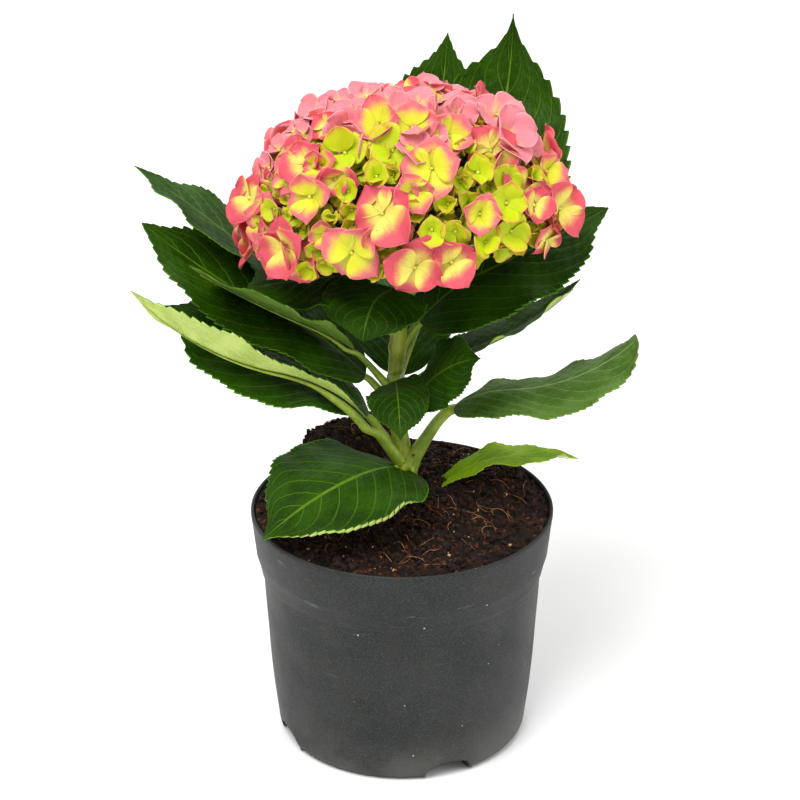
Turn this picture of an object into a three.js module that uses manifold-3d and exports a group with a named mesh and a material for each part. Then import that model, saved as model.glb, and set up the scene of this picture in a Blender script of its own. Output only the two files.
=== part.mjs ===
// A small mophead hydrangea in a round nursery pot.
// Millimetres, +Z up, front towards -Y. The origin is the centre of the pot's underside.

import * as THREE from 'three';
import { mergeVertices } from 'three/addons/utils/BufferGeometryUtils.js';
import Module from 'manifold-3d';

const wasm = await Module();
wasm.setup();

const GAP = 0.3; // clearance between neighbouring solids
const WIDE_GAP = 0.8; // clearance of the flower head round the tall leaf behind it

// Pot: a thin tapered wall with a band below the rim and four drain arches at the foot.
const RIM_RADIUS = 75;
const POT_HEIGHT = 122;
const POT_WALL = 1.6;
const POT_FLOOR = 2.2;
const BAND_RADIUS = 72.2;
const BAND_FOOT = 98;
const STEP_RADIUS = 69.4;
const STEP_HEIGHT = 89;
const WAIST_RADIUS = 67.2;
const WAIST_HEIGHT = 57;
const FOOT_RADIUS = 56.5;
const FOOT_ROUND = 6;
const INNER_ROUND = 4; // rounding inside the foot
const RIM_LIP = 3; // height of the upright edge of the rim
const RIM_BEVEL = 0.6;
const POT_SEGMENTS = 36;

const ARCH_AZIMUTHS = [-68, 22, 112, 202];
const ARCH_WIDTH = 21;
const ARCH_HEIGHT = 7.5;
const ARCH_INNER = 46; // radius where the arch's pocket ends
const ARCH_COVER = 1.6; // material over the pocket
const ARCH_SHOULDER = 0.35; // share of the height below the round top
const ARCH_SUNK = 5; // how far the cutting shape reaches below the pot
const DRAIN_WIDTH = 8;
const DRAIN_HEIGHT = 4;

// Soil: lowest at the front, heaped round the stem and against the back left of the rim.
const SOIL_BASE = 118.5;
const SOIL_HEAPS = [
  { x: 0, y: 8, height: 11, width: 34, steepness: 2 },
  { x: -27, y: 50, height: 20, width: 25, steepness: 5 },
  { x: 52, y: 30, height: 4, width: 26, steepness: 2 },
];
const SOIL_RINGS = 6;
const SOIL_EDGE = 4; // how far the soil's edge lies below its base level
const SOIL_FOOT_RADIUS = 20;

// Stem: a slightly bent green stalk, thickest at its foot and at its leaf nodes.
const STEM_PATH = [
  { x: 3, y: 1, z: 126, radius: 5.2 },
  { x: 2, y: 0, z: 143, radius: 5.4 },
  { x: -1, y: 0, z: 160, radius: 4.0 },
  { x: -4, y: 0, z: 184, radius: 3.9 },
  { x: -3, y: 0, z: 198, radius: 3.6 },
  { x: -2, y: 0, z: 212, radius: 4.2 },
  { x: 0, y: 0.5, z: 228, radius: 3.2 },
  { x: 2, y: 1, z: 245, radius: 3.1 },
  { x: 2.4, y: 1.2, z: 250, radius: 3.4 },
];
const STEM_SIDES = 9;

// Flower head: a flattened dome of four-lobed florets on a smaller dense core.
const HEAD_CENTRE = new THREE.Vector3(2, -10, 281);
const HEAD_RADII = new THREE.Vector3(80, 63, 60);
const CORE_SHARE = 0.84; // core size as a share of the floret dome
const CORE_FOOT = 251;
const CORE_NECK = 3.5; // radius of the core's flat foot on the stem
const CORE_HOLLOW = 12; // depth of the core's underside below the head's centre
const CORE_SEGMENTS = 20;
const FLORET_COUNT = 66;
const FLORET_RADIUS = 14;
const FLORET_NOTCH = 0.64; // size between two lobes as a share of the floret's radius
const FLORET_DISH = 3.5;
const FLORET_ROOT = 6; // how far a floret's stalk end reaches below the core's surface
const FLORET_LOWEST = 104; // degrees from the top of the dome
const GOLDEN_ANGLE = 180 * (3 - Math.sqrt(5));

// Leaves: each leaves the stem at a height and azimuth on a stalk that rises at a steady angle,
// then lays over and lifts or droops at its tip. A side's fold is its angle at the midrib, and
// its curl is how much that angle grows towards the margin. Left and right are seen from the stem.
const LEAVES = [
  { name: 'leaf_upper_left', azimuth: 160, turn: -3, height: 216, rise: 16, lay: 34, tip: 26,
    stalk: 52, blade: 103, half: 31, roll: 0, twist: 0, left: [15, 10], right: [0, 10] },
  { name: 'leaf_upper_right', azimuth: 18, turn: 0, height: 206, rise: 52, lay: 19, tip: 24,
    stalk: 26, blade: 101, half: 38, roll: 0, twist: 0, left: [10, 10], right: [-18, -10] },
  { name: 'leaf_middle_left_back', azimuth: 182, turn: -13, height: 176, rise: 50, lay: 28, tip: 38,
    stalk: 35, blade: 120, half: 36, roll: 0, twist: 0, left: [-6, -5], right: [-4, 10] },
  { name: 'leaf_middle_left_front', azimuth: 206, turn: -16, height: 184, rise: 53, lay: 29, tip: 36,
    stalk: 34, blade: 96, half: 26, roll: 10, twist: 0, left: [16, 10], right: [4, 5] },
  { name: 'leaf_middle_right', azimuth: 9, turn: -2, height: 182, rise: 36, lay: 19, tip: 48,
    stalk: 25, blade: 83, half: 26, roll: -10, twist: 0, left: [2, 0], right: [30, 10] },
  { name: 'leaf_lower_left_folded', azimuth: 217, turn: -42, height: 142, rise: 56, lay: 18, tip: 48,
    stalk: 62, blade: 118, half: 22, roll: 20, twist: 25, left: [12, 8], right: [5, 10] },
  { name: 'leaf_lower_left_wide', azimuth: 178, turn: -2, height: 147, rise: 55, lay: 24, tip: 24,
    stalk: 42, blade: 104, half: 35, roll: 0, twist: 0, left: [-20, 0], right: [10, 10] },
  { name: 'leaf_lower_right', azimuth: -8, turn: 12, height: 143, rise: 60, lay: 2, tip: 45,
    stalk: 42, blade: 100, half: 30, roll: 0, twist: 0, left: [-8, 0], right: [0, 0] },
  { name: 'leaf_over_rim', azimuth: 228, turn: -24, height: 143, rise: 26, lay: -1, tip: -39,
    stalk: 4, blade: 88, half: 43, roll: 1, twist: 0, left: [-14, 23], right: [3, -1] },
  { name: 'leaf_small_right', azimuth: 18, turn: -5, height: 127, rise: 38, lay: 8, tip: -20,
    stalk: 10, blade: 70, half: 15, roll: 0, twist: -15, left: [12, 0], right: [18, 0], out: 13 },
  { name: 'leaf_front_top', azimuth: 243, turn: 7, height: 242, rise: 10, lay: 9, tip: -74,
    stalk: 14, blade: 43, half: 23, roll: -6, twist: 0, left: [0, 0], right: [0, 0] },
  { name: 'leaf_under_head', azimuth: 190, turn: 0, height: 248, rise: 14, lay: 8, tip: -5,
    stalk: 18, blade: 56, half: 24, roll: 0, twist: 0, left: [-12, 0], right: [0, 0] },
  { name: 'leaf_back_left', azimuth: 83, turn: -13, height: 200, rise: 34, lay: 39, tip: 80,
    stalk: 57, blade: 124, half: 33, roll: 0, twist: 0, left: [5, 0], right: [5, 0] },
  { name: 'leaf_back_tall', azimuth: 55, turn: 15, height: 233, rise: 22, lay: 29, tip: 88,
    stalk: 27, blade: 141, half: 44, roll: 0, twist: 0, left: [12, 5], right: [5, 0] },
  { name: 'leaf_inner_right', azimuth: -52, turn: 4, height: 168, rise: 55, lay: 46, tip: 22,
    stalk: 22, blade: 61, half: 17, roll: 58, twist: 13, left: [-10, 0], right: [-10, 0] },
  { name: 'leaf_inner_front', azimuth: 271, turn: 5, height: 193, rise: 14, lay: -1, tip: -67,
    stalk: 12, blade: 42, half: 15, roll: 22, twist: -37, left: [0, 0], right: [0, 0] },
  { name: 'leaf_back_middle', azimuth: 62, turn: 6, height: 190, rise: 40, lay: 22, tip: 5,
    stalk: 40, blade: 96, half: 28, roll: 0, twist: 0, left: [5, 10], right: [5, 10] },
  { name: 'leaf_back_low', azimuth: 90, turn: 0, height: 156, rise: 45, lay: 20, tip: 8,
    stalk: 36, blade: 90, half: 27, roll: 0, twist: 0, left: [5, 10], right: [5, 10] },
];
const LEAF_THICKNESS = 0.011; // of the leaf's length
const LEAF_STATIONS = [0, 0.06, 0.18, 0.34, 0.52, 0.7, 0.86, 1];
const LEAF_COLUMNS = 4; // strips across the blade
const LEAF_LEAST_HALF = 0.9; // half width of the blade's blunt ends
const STALK_STRAIGHT = 0.6; // share of the stalk that keeps its first angle
const BLADE_SETTLED = 0.3; // share of the blade where it has laid over, and where the stalk ends
const STALK_RADIUS = 1.9;
const STALK_TIP_RADIUS = 1.3;
const STALK_SIDES = 5;
const STALK_STEPS = 5;
// Outline: half width is t^RISE * (1 - t)^FALL * (1 + SHOULDER * t^2), scaled to its peak.
const OUTLINE_RISE = 0.55;
const OUTLINE_FALL = 1.1;
const OUTLINE_SHOULDER = 0.9;

const MATERIALS = {
  pot: new THREE.MeshStandardMaterial({ name: 'pot_plastic', color: 0x2e3236, roughness: 0.62 }),
  soil: new THREE.MeshStandardMaterial({ name: 'soil', color: 0x2c160e, roughness: 1 }),
  stem: new THREE.MeshStandardMaterial({ name: 'stem', color: 0x8f9f2e, roughness: 0.6 }),
  leaf: new THREE.MeshStandardMaterial({ name: 'leaf', color: 0x2c5a14, roughness: 0.55 }),
  flower: new THREE.MeshStandardMaterial({ name: 'flower', color: 0xe58f7c, roughness: 0.7 }),
};

const radians = THREE.MathUtils.degToRad;

// Solids

function signedVolume(geometry) {
  const position = geometry.getAttribute('position');
  const index = geometry.getIndex();
  const a = new THREE.Vector3();
  const b = new THREE.Vector3();
  const c = new THREE.Vector3();
  let sum = 0;
  for (let i = 0; i < index.count; i += 3) {
    a.fromBufferAttribute(position, index.getX(i));
    b.fromBufferAttribute(position, index.getX(i + 1));
    c.fromBufferAttribute(position, index.getX(i + 2));
    sum += a.dot(b.cross(c)) / 6;
  }
  return sum;
}

/** A closed geometry as a solid for joining and cutting, with its faces turned outwards. */
function solidOf(geometry) {
  const bare = geometry.clone();
  bare.deleteAttribute('normal');
  bare.deleteAttribute('uv');
  const merged = mergeVertices(bare, 1e-4);
  const triVerts = Uint32Array.from(merged.getIndex().array);
  if (signedVolume(merged) < 0) {
    for (let i = 0; i < triVerts.length; i += 3) {
      [triVerts[i + 1], triVerts[i + 2]] = [triVerts[i + 2], triVerts[i + 1]];
    }
  }
  const vertProperties = Float32Array.from(merged.getAttribute('position').array);
  return new wasm.Manifold(new wasm.Mesh({ numProp: 3, vertProperties, triVerts }));
}

/** The named mesh of a solid. */
function meshOf(name, solid, material) {
  const { vertProperties, triVerts } = solid.getMesh();
  const geometry = new THREE.BufferGeometry();
  geometry.setAttribute('position', new THREE.BufferAttribute(Float32Array.from(vertProperties), 3));
  geometry.setIndex(new THREE.BufferAttribute(Uint32Array.from(triVerts), 1));
  geometry.computeVertexNormals();
  const mesh = new THREE.Mesh(geometry, material);
  mesh.name = name;
  return mesh;
}

/** The largest connected body of a solid, without loose scraps. */
function mainBody(solid) {
  return solid.decompose().reduce((best, body) => (body.volume() > best.volume() ? body : best));
}

/** A closed geometry through equal rings of points, capped with a fan at each end. */
function loft(rings) {
  const size = rings[0].length;
  const points = rings.flat();
  const index = [];
  for (let r = 0; r + 1 < rings.length; r += 1) {
    for (let k = 0; k < size; k += 1) {
      const a = r * size + k;
      const b = r * size + ((k + 1) % size);
      index.push(a, b, a + size, b, b + size, a + size);
    }
  }
  for (const [start, flip] of [[0, false], [(rings.length - 1) * size, true]]) {
    const ring = points.slice(start, start + size);
    const centre = new THREE.Vector3();
    ring.forEach((point) => centre.addScaledVector(point, 1 / size));
    const hub = points.push(centre) - 1;
    for (let k = 0; k < size; k += 1) {
      const a = start + k;
      const b = start + ((k + 1) % size);
      index.push(...(flip ? [hub, a, b] : [hub, b, a]));
    }
  }
  const geometry = new THREE.BufferGeometry().setFromPoints(points);
  geometry.setIndex(index);
  return geometry;
}

/** A ring of points round a centre, in the plane of two unit directions. */
function ringAt(centre, across, up, radius, sides) {
  return Array.from({ length: sides }, (_, k) => {
    const angle = (2 * Math.PI * k) / sides;
    return centre.clone()
      .addScaledVector(across, radius * Math.cos(angle))
      .addScaledVector(up, radius * Math.sin(angle));
  });
}

// Pot

function potGeometry() {
  const inner = (radius) => radius - POT_WALL;
  const corner = (k) => new THREE.Vector2(
    FOOT_RADIUS + FOOT_ROUND * Math.sin(radians(k * 30)),
    FOOT_ROUND - FOOT_ROUND * Math.cos(radians(k * 30)),
  );
  const footInner = FOOT_RADIUS + FOOT_ROUND - POT_WALL;
  const profile = [
    new THREE.Vector2(0, 0),
    ...[0, 1, 2, 3].map(corner),
    new THREE.Vector2(WAIST_RADIUS, WAIST_HEIGHT),
    new THREE.Vector2(STEP_RADIUS, STEP_HEIGHT),
    new THREE.Vector2(STEP_RADIUS + 1, STEP_HEIGHT + 2),
    new THREE.Vector2(BAND_RADIUS, BAND_FOOT),
    new THREE.Vector2(RIM_RADIUS, POT_HEIGHT - RIM_LIP),
    new THREE.Vector2(RIM_RADIUS, POT_HEIGHT - RIM_BEVEL),
    new THREE.Vector2(RIM_RADIUS - RIM_BEVEL, POT_HEIGHT),
    new THREE.Vector2(inner(RIM_RADIUS), POT_HEIGHT),
    new THREE.Vector2(inner(BAND_RADIUS), BAND_FOOT),
    new THREE.Vector2(inner(STEP_RADIUS), STEP_HEIGHT),
    new THREE.Vector2(inner(WAIST_RADIUS), WAIST_HEIGHT),
    new THREE.Vector2(footInner, POT_FLOOR + FOOT_ROUND),
    new THREE.Vector2(footInner - INNER_ROUND, POT_FLOOR),
    new THREE.Vector2(0, POT_FLOOR),
  ];
  const lathe = new THREE.LatheGeometry(profile, POT_SEGMENTS);
  return lathe.rotateX(Math.PI / 2);
}

/** An arch-shaped prism that runs outwards from one radius to another at an azimuth. */
function archPrism(width, height, from, to, azimuth) {
  const shape = new THREE.Shape();
  shape.moveTo(-width / 2, -ARCH_SUNK);
  shape.lineTo(width / 2, -ARCH_SUNK);
  shape.lineTo(width / 2, height * ARCH_SHOULDER);
  shape.absellipse(0, height * ARCH_SHOULDER, width / 2, height * (1 - ARCH_SHOULDER), 0, Math.PI, false);
  const options = { depth: to - from, bevelEnabled: false, curveSegments: 8 };
  const prism = new THREE.ExtrudeGeometry(shape, options);
  prism.translate(0, 0, from);
  prism.rotateX(Math.PI / 2);
  prism.rotateZ(radians(azimuth + 180 - 90));
  return prism;
}

/** The covers over the drain pockets, grown by a margin. */
function archCovers(margin) {
  const grown = ARCH_COVER + margin;
  return ARCH_AZIMUTHS.map((azimuth) => solidOf(archPrism(
    ARCH_WIDTH + 2 * grown, ARCH_HEIGHT + grown, ARCH_INNER - grown, FOOT_RADIUS + FOOT_ROUND, azimuth,
  )));
}

function buildPot() {
  const envelope = solidOf(potEnvelope());
  let pot = solidOf(potGeometry());
  for (const cover of archCovers(0)) {
    pot = pot.add(cover.intersect(envelope));
  }
  for (const azimuth of ARCH_AZIMUTHS) {
    pot = pot.subtract(solidOf(archPrism(ARCH_WIDTH, ARCH_HEIGHT, ARCH_INNER, RIM_RADIUS, azimuth)));
    const drain = archPrism(DRAIN_WIDTH, DRAIN_HEIGHT, ARCH_INNER - 2 * ARCH_COVER, RIM_RADIUS, azimuth);
    pot = pot.subtract(solidOf(drain));
  }
  return meshOf('pot', mainBody(pot), MATERIALS.pot);
}

/** The whole space inside the lower part of the pot's outer surface. */
function potEnvelope() {
  const foot = FOOT_RADIUS + FOOT_ROUND;
  const profile = [
    new THREE.Vector2(0, 0),
    new THREE.Vector2(FOOT_RADIUS, 0),
    new THREE.Vector2(foot - FOOT_ROUND * 0.3, FOOT_ROUND * 0.3),
    new THREE.Vector2(foot, FOOT_ROUND),
    new THREE.Vector2(WAIST_RADIUS, WAIST_HEIGHT),
    new THREE.Vector2(0, WAIST_HEIGHT),
  ];
  return new THREE.LatheGeometry(profile, POT_SEGMENTS).rotateX(Math.PI / 2);
}

// Soil

function soilHeight(x, y) {
  return SOIL_HEAPS.reduce((z, heap) => {
    const distance = Math.hypot(x - heap.x, y - heap.y) / heap.width;
    return z + heap.height * Math.exp(-0.5 * distance ** heap.steepness);
  }, SOIL_BASE);
}

/** The inner radius of the pot at a height. */
function innerRadius(z) {
  const line = [
    [POT_FLOOR, FOOT_RADIUS + FOOT_ROUND - INNER_ROUND],
    [POT_FLOOR + FOOT_ROUND, FOOT_RADIUS + FOOT_ROUND],
    [WAIST_HEIGHT, WAIST_RADIUS],
    [STEP_HEIGHT, STEP_RADIUS],
    [BAND_FOOT, BAND_RADIUS],
    [POT_HEIGHT, RIM_RADIUS],
  ];
  const next = Math.max(1, line.findIndex(([height]) => height >= z));
  const [z0, r0] = line[next - 1];
  const [z1, r1] = line[next];
  const share = THREE.MathUtils.clamp((z - z0) / (z1 - z0), 0, 1);
  return r0 + (r1 - r0) * share - POT_WALL;
}

function soilGeometry() {
  const directions = Array.from({ length: POT_SEGMENTS }, (_, k) => {
    const angle = (2 * Math.PI * k) / POT_SEGMENTS;
    return new THREE.Vector2(Math.cos(angle), Math.sin(angle));
  });
  const ring = (radius, height) => directions.map((way) => (
    new THREE.Vector3(way.x * radius, way.y * radius, height(way.x * radius, way.y * radius))
  ));
  const foot = POT_FLOOR + GAP;
  const edge = SOIL_BASE - SOIL_EDGE;
  const side = [foot, foot + FOOT_ROUND, WAIST_HEIGHT, STEP_HEIGHT, BAND_FOOT];
  const rings = [ring(SOIL_FOOT_RADIUS, () => foot)];
  side.forEach((z) => rings.push(ring(innerRadius(z) - 2 * GAP, () => z)));
  const brim = innerRadius(edge) - 2 * GAP;
  rings.push(ring(brim, () => edge));
  for (let k = SOIL_RINGS; k > 0; k -= 1) {
    rings.push(ring((brim * k) / SOIL_RINGS, soilHeight));
  }
  return loft(rings);
}

function buildSoil(stemSpace, stalkSpace) {
  let soil = solidOf(soilGeometry());
  for (const cover of archCovers(GAP)) {
    soil = soil.subtract(cover);
  }
  soil = soil.subtract(stemSpace).subtract(stalkSpace);
  return meshOf('soil', mainBody(soil), MATERIALS.soil);
}

// Stem

function stemPoint(z) {
  const next = Math.max(1, STEM_PATH.findIndex((point) => point.z >= z));
  const low = STEM_PATH[next - 1];
  const high = STEM_PATH[next];
  const share = (z - low.z) / (high.z - low.z);
  return new THREE.Vector3(
    low.x + (high.x - low.x) * share,
    low.y + (high.y - low.y) * share,
    z,
  );
}

/** The stem's geometry, with its radius and both ends grown by a margin. */
function stemGeometry(margin) {
  const last = STEM_PATH.length - 1;
  const east = new THREE.Vector3(1, 0, 0);
  const north = new THREE.Vector3(0, 1, 0);
  return loft(STEM_PATH.map((point, k) => {
    const reach = k === 0 ? -margin : (k === last ? margin : 0);
    const centre = new THREE.Vector3(point.x, point.y, point.z + reach);
    return ringAt(centre, east, north, point.radius + margin, STEM_SIDES);
  }));
}

// Leaves

const outlineRaw = (t) => (
  t ** OUTLINE_RISE * (1 - t) ** OUTLINE_FALL * (1 + OUTLINE_SHOULDER * t * t)
);
const OUTLINE_PEAK = Math.max(...Array.from({ length: 101 }, (_, k) => outlineRaw(k / 100)));

function between(x, knots) {
  const next = knots.findIndex(([at]) => at >= x);
  if (next <= 0) {
    return knots[next === 0 ? 0 : knots.length - 1][1];
  }
  const [x0, y0] = knots[next - 1];
  const [x1, y1] = knots[next];
  return y0 + ((y1 - y0) * (x - x0)) / (x1 - x0);
}

/** The way a leaf points at a distance along it, with its side and upward directions. */
function leafFrame(leaf, distance) {
  const length = leaf.stalk + leaf.blade;
  const azimuth = radians(leaf.azimuth + (leaf.turn * distance) / length);
  const slope = radians(between(distance, [
    [0, leaf.rise],
    [leaf.stalk * STALK_STRAIGHT, leaf.rise],
    [leaf.stalk + leaf.blade * BLADE_SETTLED, leaf.lay],
    [length, leaf.tip],
  ]));
  const along = new THREE.Vector3(
    Math.cos(slope) * Math.cos(azimuth),
    Math.cos(slope) * Math.sin(azimuth),
    Math.sin(slope),
  );
  const side = new THREE.Vector3(-Math.sin(azimuth), Math.cos(azimuth), 0);
  const share = Math.max(0, (distance - leaf.stalk) / leaf.blade);
  side.applyAxisAngle(along, radians(leaf.roll + leaf.twist * share));
  const up = new THREE.Vector3().crossVectors(along, side);
  return { along, side, up };
}

/** Points of the leaf's centre line at rising distances from the stem. */
function leafLine(leaf, distances) {
  const step = 1.5;
  const azimuth = radians(leaf.azimuth);
  const point = stemPoint(leaf.height);
  point.x += (leaf.out ?? 0) * Math.cos(azimuth);
  point.y += (leaf.out ?? 0) * Math.sin(azimuth);
  const line = [];
  let reached = 0;
  for (const distance of distances) {
    while (reached < distance - 1e-9) {
      const stride = Math.min(step, distance - reached);
      point.addScaledVector(leafFrame(leaf, reached + stride / 2).along, stride);
      reached += stride;
    }
    line.push(point.clone());
  }
  return line;
}

/** One cross-section of the blade as a closed ring, upper face first. */
function bladeRing(centre, frame, leaf, t, thickness) {
  const half = Math.max(LEAF_LEAST_HALF, (leaf.half * outlineRaw(t)) / OUTLINE_PEAK);
  const upper = [];
  const lower = [];
  for (let k = 0; k <= LEAF_COLUMNS; k += 1) {
    const u = (2 * k) / LEAF_COLUMNS - 1;
    const v = Math.abs(u);
    const sign = u < 0 ? -1 : 1;
    const [foldDegrees, curlDegrees] = u < 0 ? leaf.right : leaf.left;
    const fold = radians(foldDegrees);
    const curl = radians(curlDegrees) || 1e-4;
    const reach = (Math.sin(fold + curl * v) - Math.sin(fold)) / curl;
    const lift = (Math.cos(fold) - Math.cos(fold + curl * v)) / curl;
    const lean = u === 0 ? 0 : fold + curl * v;
    const point = centre.clone()
      .addScaledVector(frame.side, sign * half * reach)
      .addScaledVector(frame.up, half * lift);
    const normal = frame.up.clone().multiplyScalar(Math.cos(lean))
      .addScaledVector(frame.side, -sign * Math.sin(lean));
    upper.push(point.clone().addScaledVector(normal, thickness / 2));
    lower.unshift(point.addScaledVector(normal, -thickness / 2));
  }
  return [...upper, ...lower];
}

/** The blade of a leaf, grown by a margin on each side. */
function bladeGeometry(leaf, margin) {
  const thickness = LEAF_THICKNESS * (leaf.stalk + leaf.blade) + 2 * margin;
  const grown = { ...leaf, half: leaf.half + margin };
  const distances = LEAF_STATIONS.map((t) => leaf.stalk + leaf.blade * t);
  const line = leafLine(leaf, distances);
  return loft(line.map((centre, k) => (
    bladeRing(centre, leafFrame(leaf, distances[k]), grown, LEAF_STATIONS[k], thickness)
  )));
}

/** The leaf's stalk and the start of its midrib, with the radius grown by a margin. */
function stalkGeometry(leaf, margin) {
  const reach = leaf.stalk + leaf.blade * BLADE_SETTLED;
  const distances = Array.from({ length: STALK_STEPS + 1 }, (_, k) => (reach * k) / STALK_STEPS);
  return loft(leafLine(leaf, distances).map((centre, k) => {
    const frame = leafFrame(leaf, distances[k]);
    const radius = THREE.MathUtils.lerp(STALK_RADIUS, STALK_TIP_RADIUS, k / STALK_STEPS) + margin;
    return ringAt(centre, frame.side, frame.up, radius, STALK_SIDES);
  }));
}

function buildLeaf(leaf, stemSpace) {
  const whole = solidOf(bladeGeometry(leaf, 0)).add(solidOf(stalkGeometry(leaf, 0)));
  return meshOf(leaf.name, mainBody(whole.subtract(stemSpace)), MATERIALS.leaf);
}

// Flower head

function coreGeometry() {
  const rise = HEAD_RADII.z * CORE_SHARE;
  const spread = HEAD_RADII.x * CORE_SHARE;
  const centre = HEAD_CENTRE.z;
  const profile = [
    new THREE.Vector2(0, CORE_FOOT),
    new THREE.Vector2(CORE_NECK, CORE_FOOT),
    new THREE.Vector2(3 * CORE_NECK, CORE_FOOT + 2.5 * CORE_NECK),
    new THREE.Vector2(spread * 0.5, centre - CORE_HOLLOW),
    new THREE.Vector2(spread * 0.86, centre - CORE_HOLLOW * 0.9),
    new THREE.Vector2(spread * 0.98, centre - CORE_HOLLOW * 0.5),
  ];
  for (let angle = 90; angle > 0; angle -= 15) {
    const way = radians(angle);
    profile.push(new THREE.Vector2(spread * Math.sin(way), centre + rise * Math.cos(way)));
  }
  profile.push(new THREE.Vector2(0, centre + rise));
  const core = new THREE.LatheGeometry(profile, CORE_SEGMENTS).rotateX(Math.PI / 2);
  core.scale(1, HEAD_RADII.y / HEAD_RADII.x, 1);
  return core.translate(HEAD_CENTRE.x, HEAD_CENTRE.y, 0);
}

/** A dished four-lobed floret whose stalk end reaches into the core. */
function floretGeometry(azimuth, polar, turn, radius) {
  const outward = new THREE.Vector3(
    Math.sin(polar) * Math.cos(azimuth),
    Math.sin(polar) * Math.sin(azimuth),
    Math.cos(polar),
  );
  const centre = outward.clone().multiply(HEAD_RADII).add(HEAD_CENTRE);
  const facing = outward.clone().divide(HEAD_RADII).normalize();
  const across = new THREE.Vector3(0, 0, 1).cross(facing).normalize();
  if (across.lengthSq() < 0.5) {
    across.set(1, 0, 0);
  }
  across.applyAxisAngle(facing, turn);
  const up = new THREE.Vector3().crossVectors(facing, across);
  const lobes = 8;
  const points = [];
  for (let k = 0; k < lobes; k += 1) {
    const angle = (2 * Math.PI * k) / lobes;
    const size = radius * (k % 2 === 0 ? FLORET_NOTCH : 1);
    points.push(centre.clone()
      .addScaledVector(across, size * Math.cos(angle))
      .addScaledVector(up, size * Math.sin(angle))
      .addScaledVector(facing, FLORET_DISH));
  }
  points.push(centre.clone().addScaledVector(facing, FLORET_DISH * 0.3));
  points.push(centre.clone().addScaledVector(facing, -HEAD_RADII.z * (1 - CORE_SHARE) - FLORET_ROOT));
  const index = [];
  for (let k = 0; k < lobes; k += 1) {
    const next = (k + 1) % lobes;
    index.push(k, next, lobes, next, k, lobes + 1);
  }
  const geometry = new THREE.BufferGeometry().setFromPoints(points);
  geometry.setIndex(index);
  return geometry;
}

function buildFlowerHead(leafSpace) {
  let head = solidOf(coreGeometry());
  const lowest = Math.cos(radians(FLORET_LOWEST));
  for (let k = 0; k < FLORET_COUNT; k += 1) {
    const polar = Math.acos(1 - ((k + 0.5) / FLORET_COUNT) * (1 - lowest));
    const azimuth = radians(k * GOLDEN_ANGLE);
    const radius = FLORET_RADIUS * (1 + 0.12 * Math.sin(k * 2.3));
    head = head.add(solidOf(floretGeometry(azimuth, polar, k * 1.7, radius)));
  }
  return meshOf('flower_head', mainBody(head.subtract(leafSpace)), MATERIALS.flower);
}

// Assembly

const stemSpace = solidOf(stemGeometry(GAP));
const leafNamed = (name) => LEAVES.find((leaf) => leaf.name === name);
const stalkSpace = solidOf(stalkGeometry(leafNamed('leaf_small_right'), GAP));
const tallLeafSpace = solidOf(bladeGeometry(leafNamed('leaf_back_tall'), WIDE_GAP));

const plant = new THREE.Group();
plant.add(buildPot());
plant.add(buildSoil(stemSpace, stalkSpace));
plant.add(meshOf('main_stem', solidOf(stemGeometry(0)), MATERIALS.stem));
LEAVES.forEach((leaf) => plant.add(buildLeaf(leaf, stemSpace)));
plant.add(buildFlowerHead(tallLeafSpace));

export default plant;
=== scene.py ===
"""A small mophead hydrangea in a round nursery pot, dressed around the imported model.

Shapes are worked out in millimetres and put into Blender in metres. Each sub-assembly is a class
that holds its sizes and builds its own meshes, and each finish is a small class of its own.
"""

from __future__ import annotations

import logging
import math
from dataclasses import dataclass, field
from enum import Enum

import bpy
import numpy as np
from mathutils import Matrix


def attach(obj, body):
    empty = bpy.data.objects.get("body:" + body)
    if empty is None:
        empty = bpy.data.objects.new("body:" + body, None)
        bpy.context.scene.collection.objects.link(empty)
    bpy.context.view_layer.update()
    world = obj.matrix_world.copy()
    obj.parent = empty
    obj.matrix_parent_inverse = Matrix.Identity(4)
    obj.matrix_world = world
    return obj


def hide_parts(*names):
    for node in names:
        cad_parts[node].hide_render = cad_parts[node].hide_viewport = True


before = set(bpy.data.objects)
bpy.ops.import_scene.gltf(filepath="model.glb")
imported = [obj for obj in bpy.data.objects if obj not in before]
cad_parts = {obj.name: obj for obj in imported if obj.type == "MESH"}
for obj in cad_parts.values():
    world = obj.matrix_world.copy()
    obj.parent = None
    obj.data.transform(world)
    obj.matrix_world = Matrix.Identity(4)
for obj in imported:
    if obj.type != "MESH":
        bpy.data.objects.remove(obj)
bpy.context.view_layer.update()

LOG = logging.getLogger("hydrangea")
MM = 0.001
ROOT = "root"
FACE_MAP = "Face"  # a piece's own map, which its finish reads
BAKE_MAP = "OFBake"  # the same faces laid side by side
GOLDEN_ANGLE = math.pi * (3 - math.sqrt(5))
LATTICE = 256  # points along each side of the noise's lattice, which then repeats
BLADE_HALF_THICKNESS = 0.22
SEPAL_HALF_THICKNESS = 0.14
SEPAL_STEP = 0.6  # how far every other sepal lies above its neighbours
SEPAL_START = 0.5  # where a sepal starts, from the floret's middle

Colour = tuple[float, float, float]
Socket = bpy.types.NodeSocket


class Tone(Enum):
    """The shades that leaves are dealt out in."""

    # painted shade: a darker copy of the leaf finish, for leaves in the shade under the head
    IN_SHADE = "in_shade"
    MID = "mid"
    BRIGHT = "bright"
    # painted sheen: greyer, paler greens that stand in for light glancing off the lower right leaf
    SHEEN = "grey"


class Bloom(Enum):
    """The stages that florets open through, from green to pink."""

    FRESH = "fresh"
    TURNING = "turning"
    CORAL = "coral"
    PALE = "pale"


# Numbers


def linear(red: int, green: int, blue: int) -> Colour:
    """A display colour of 0 to 255 as a linear one."""
    parts = [value / 255 for value in (red, green, blue)]
    return tuple(((p + 0.055) / 1.055) ** 2.4 if p > 0.04045 else p / 12.92 for p in parts)


def unit(vectors: np.ndarray) -> np.ndarray:
    """Vectors scaled to a length of 1 along their last axis."""
    return vectors / np.maximum(np.linalg.norm(vectors, axis=-1, keepdims=True), 1e-12)


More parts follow.
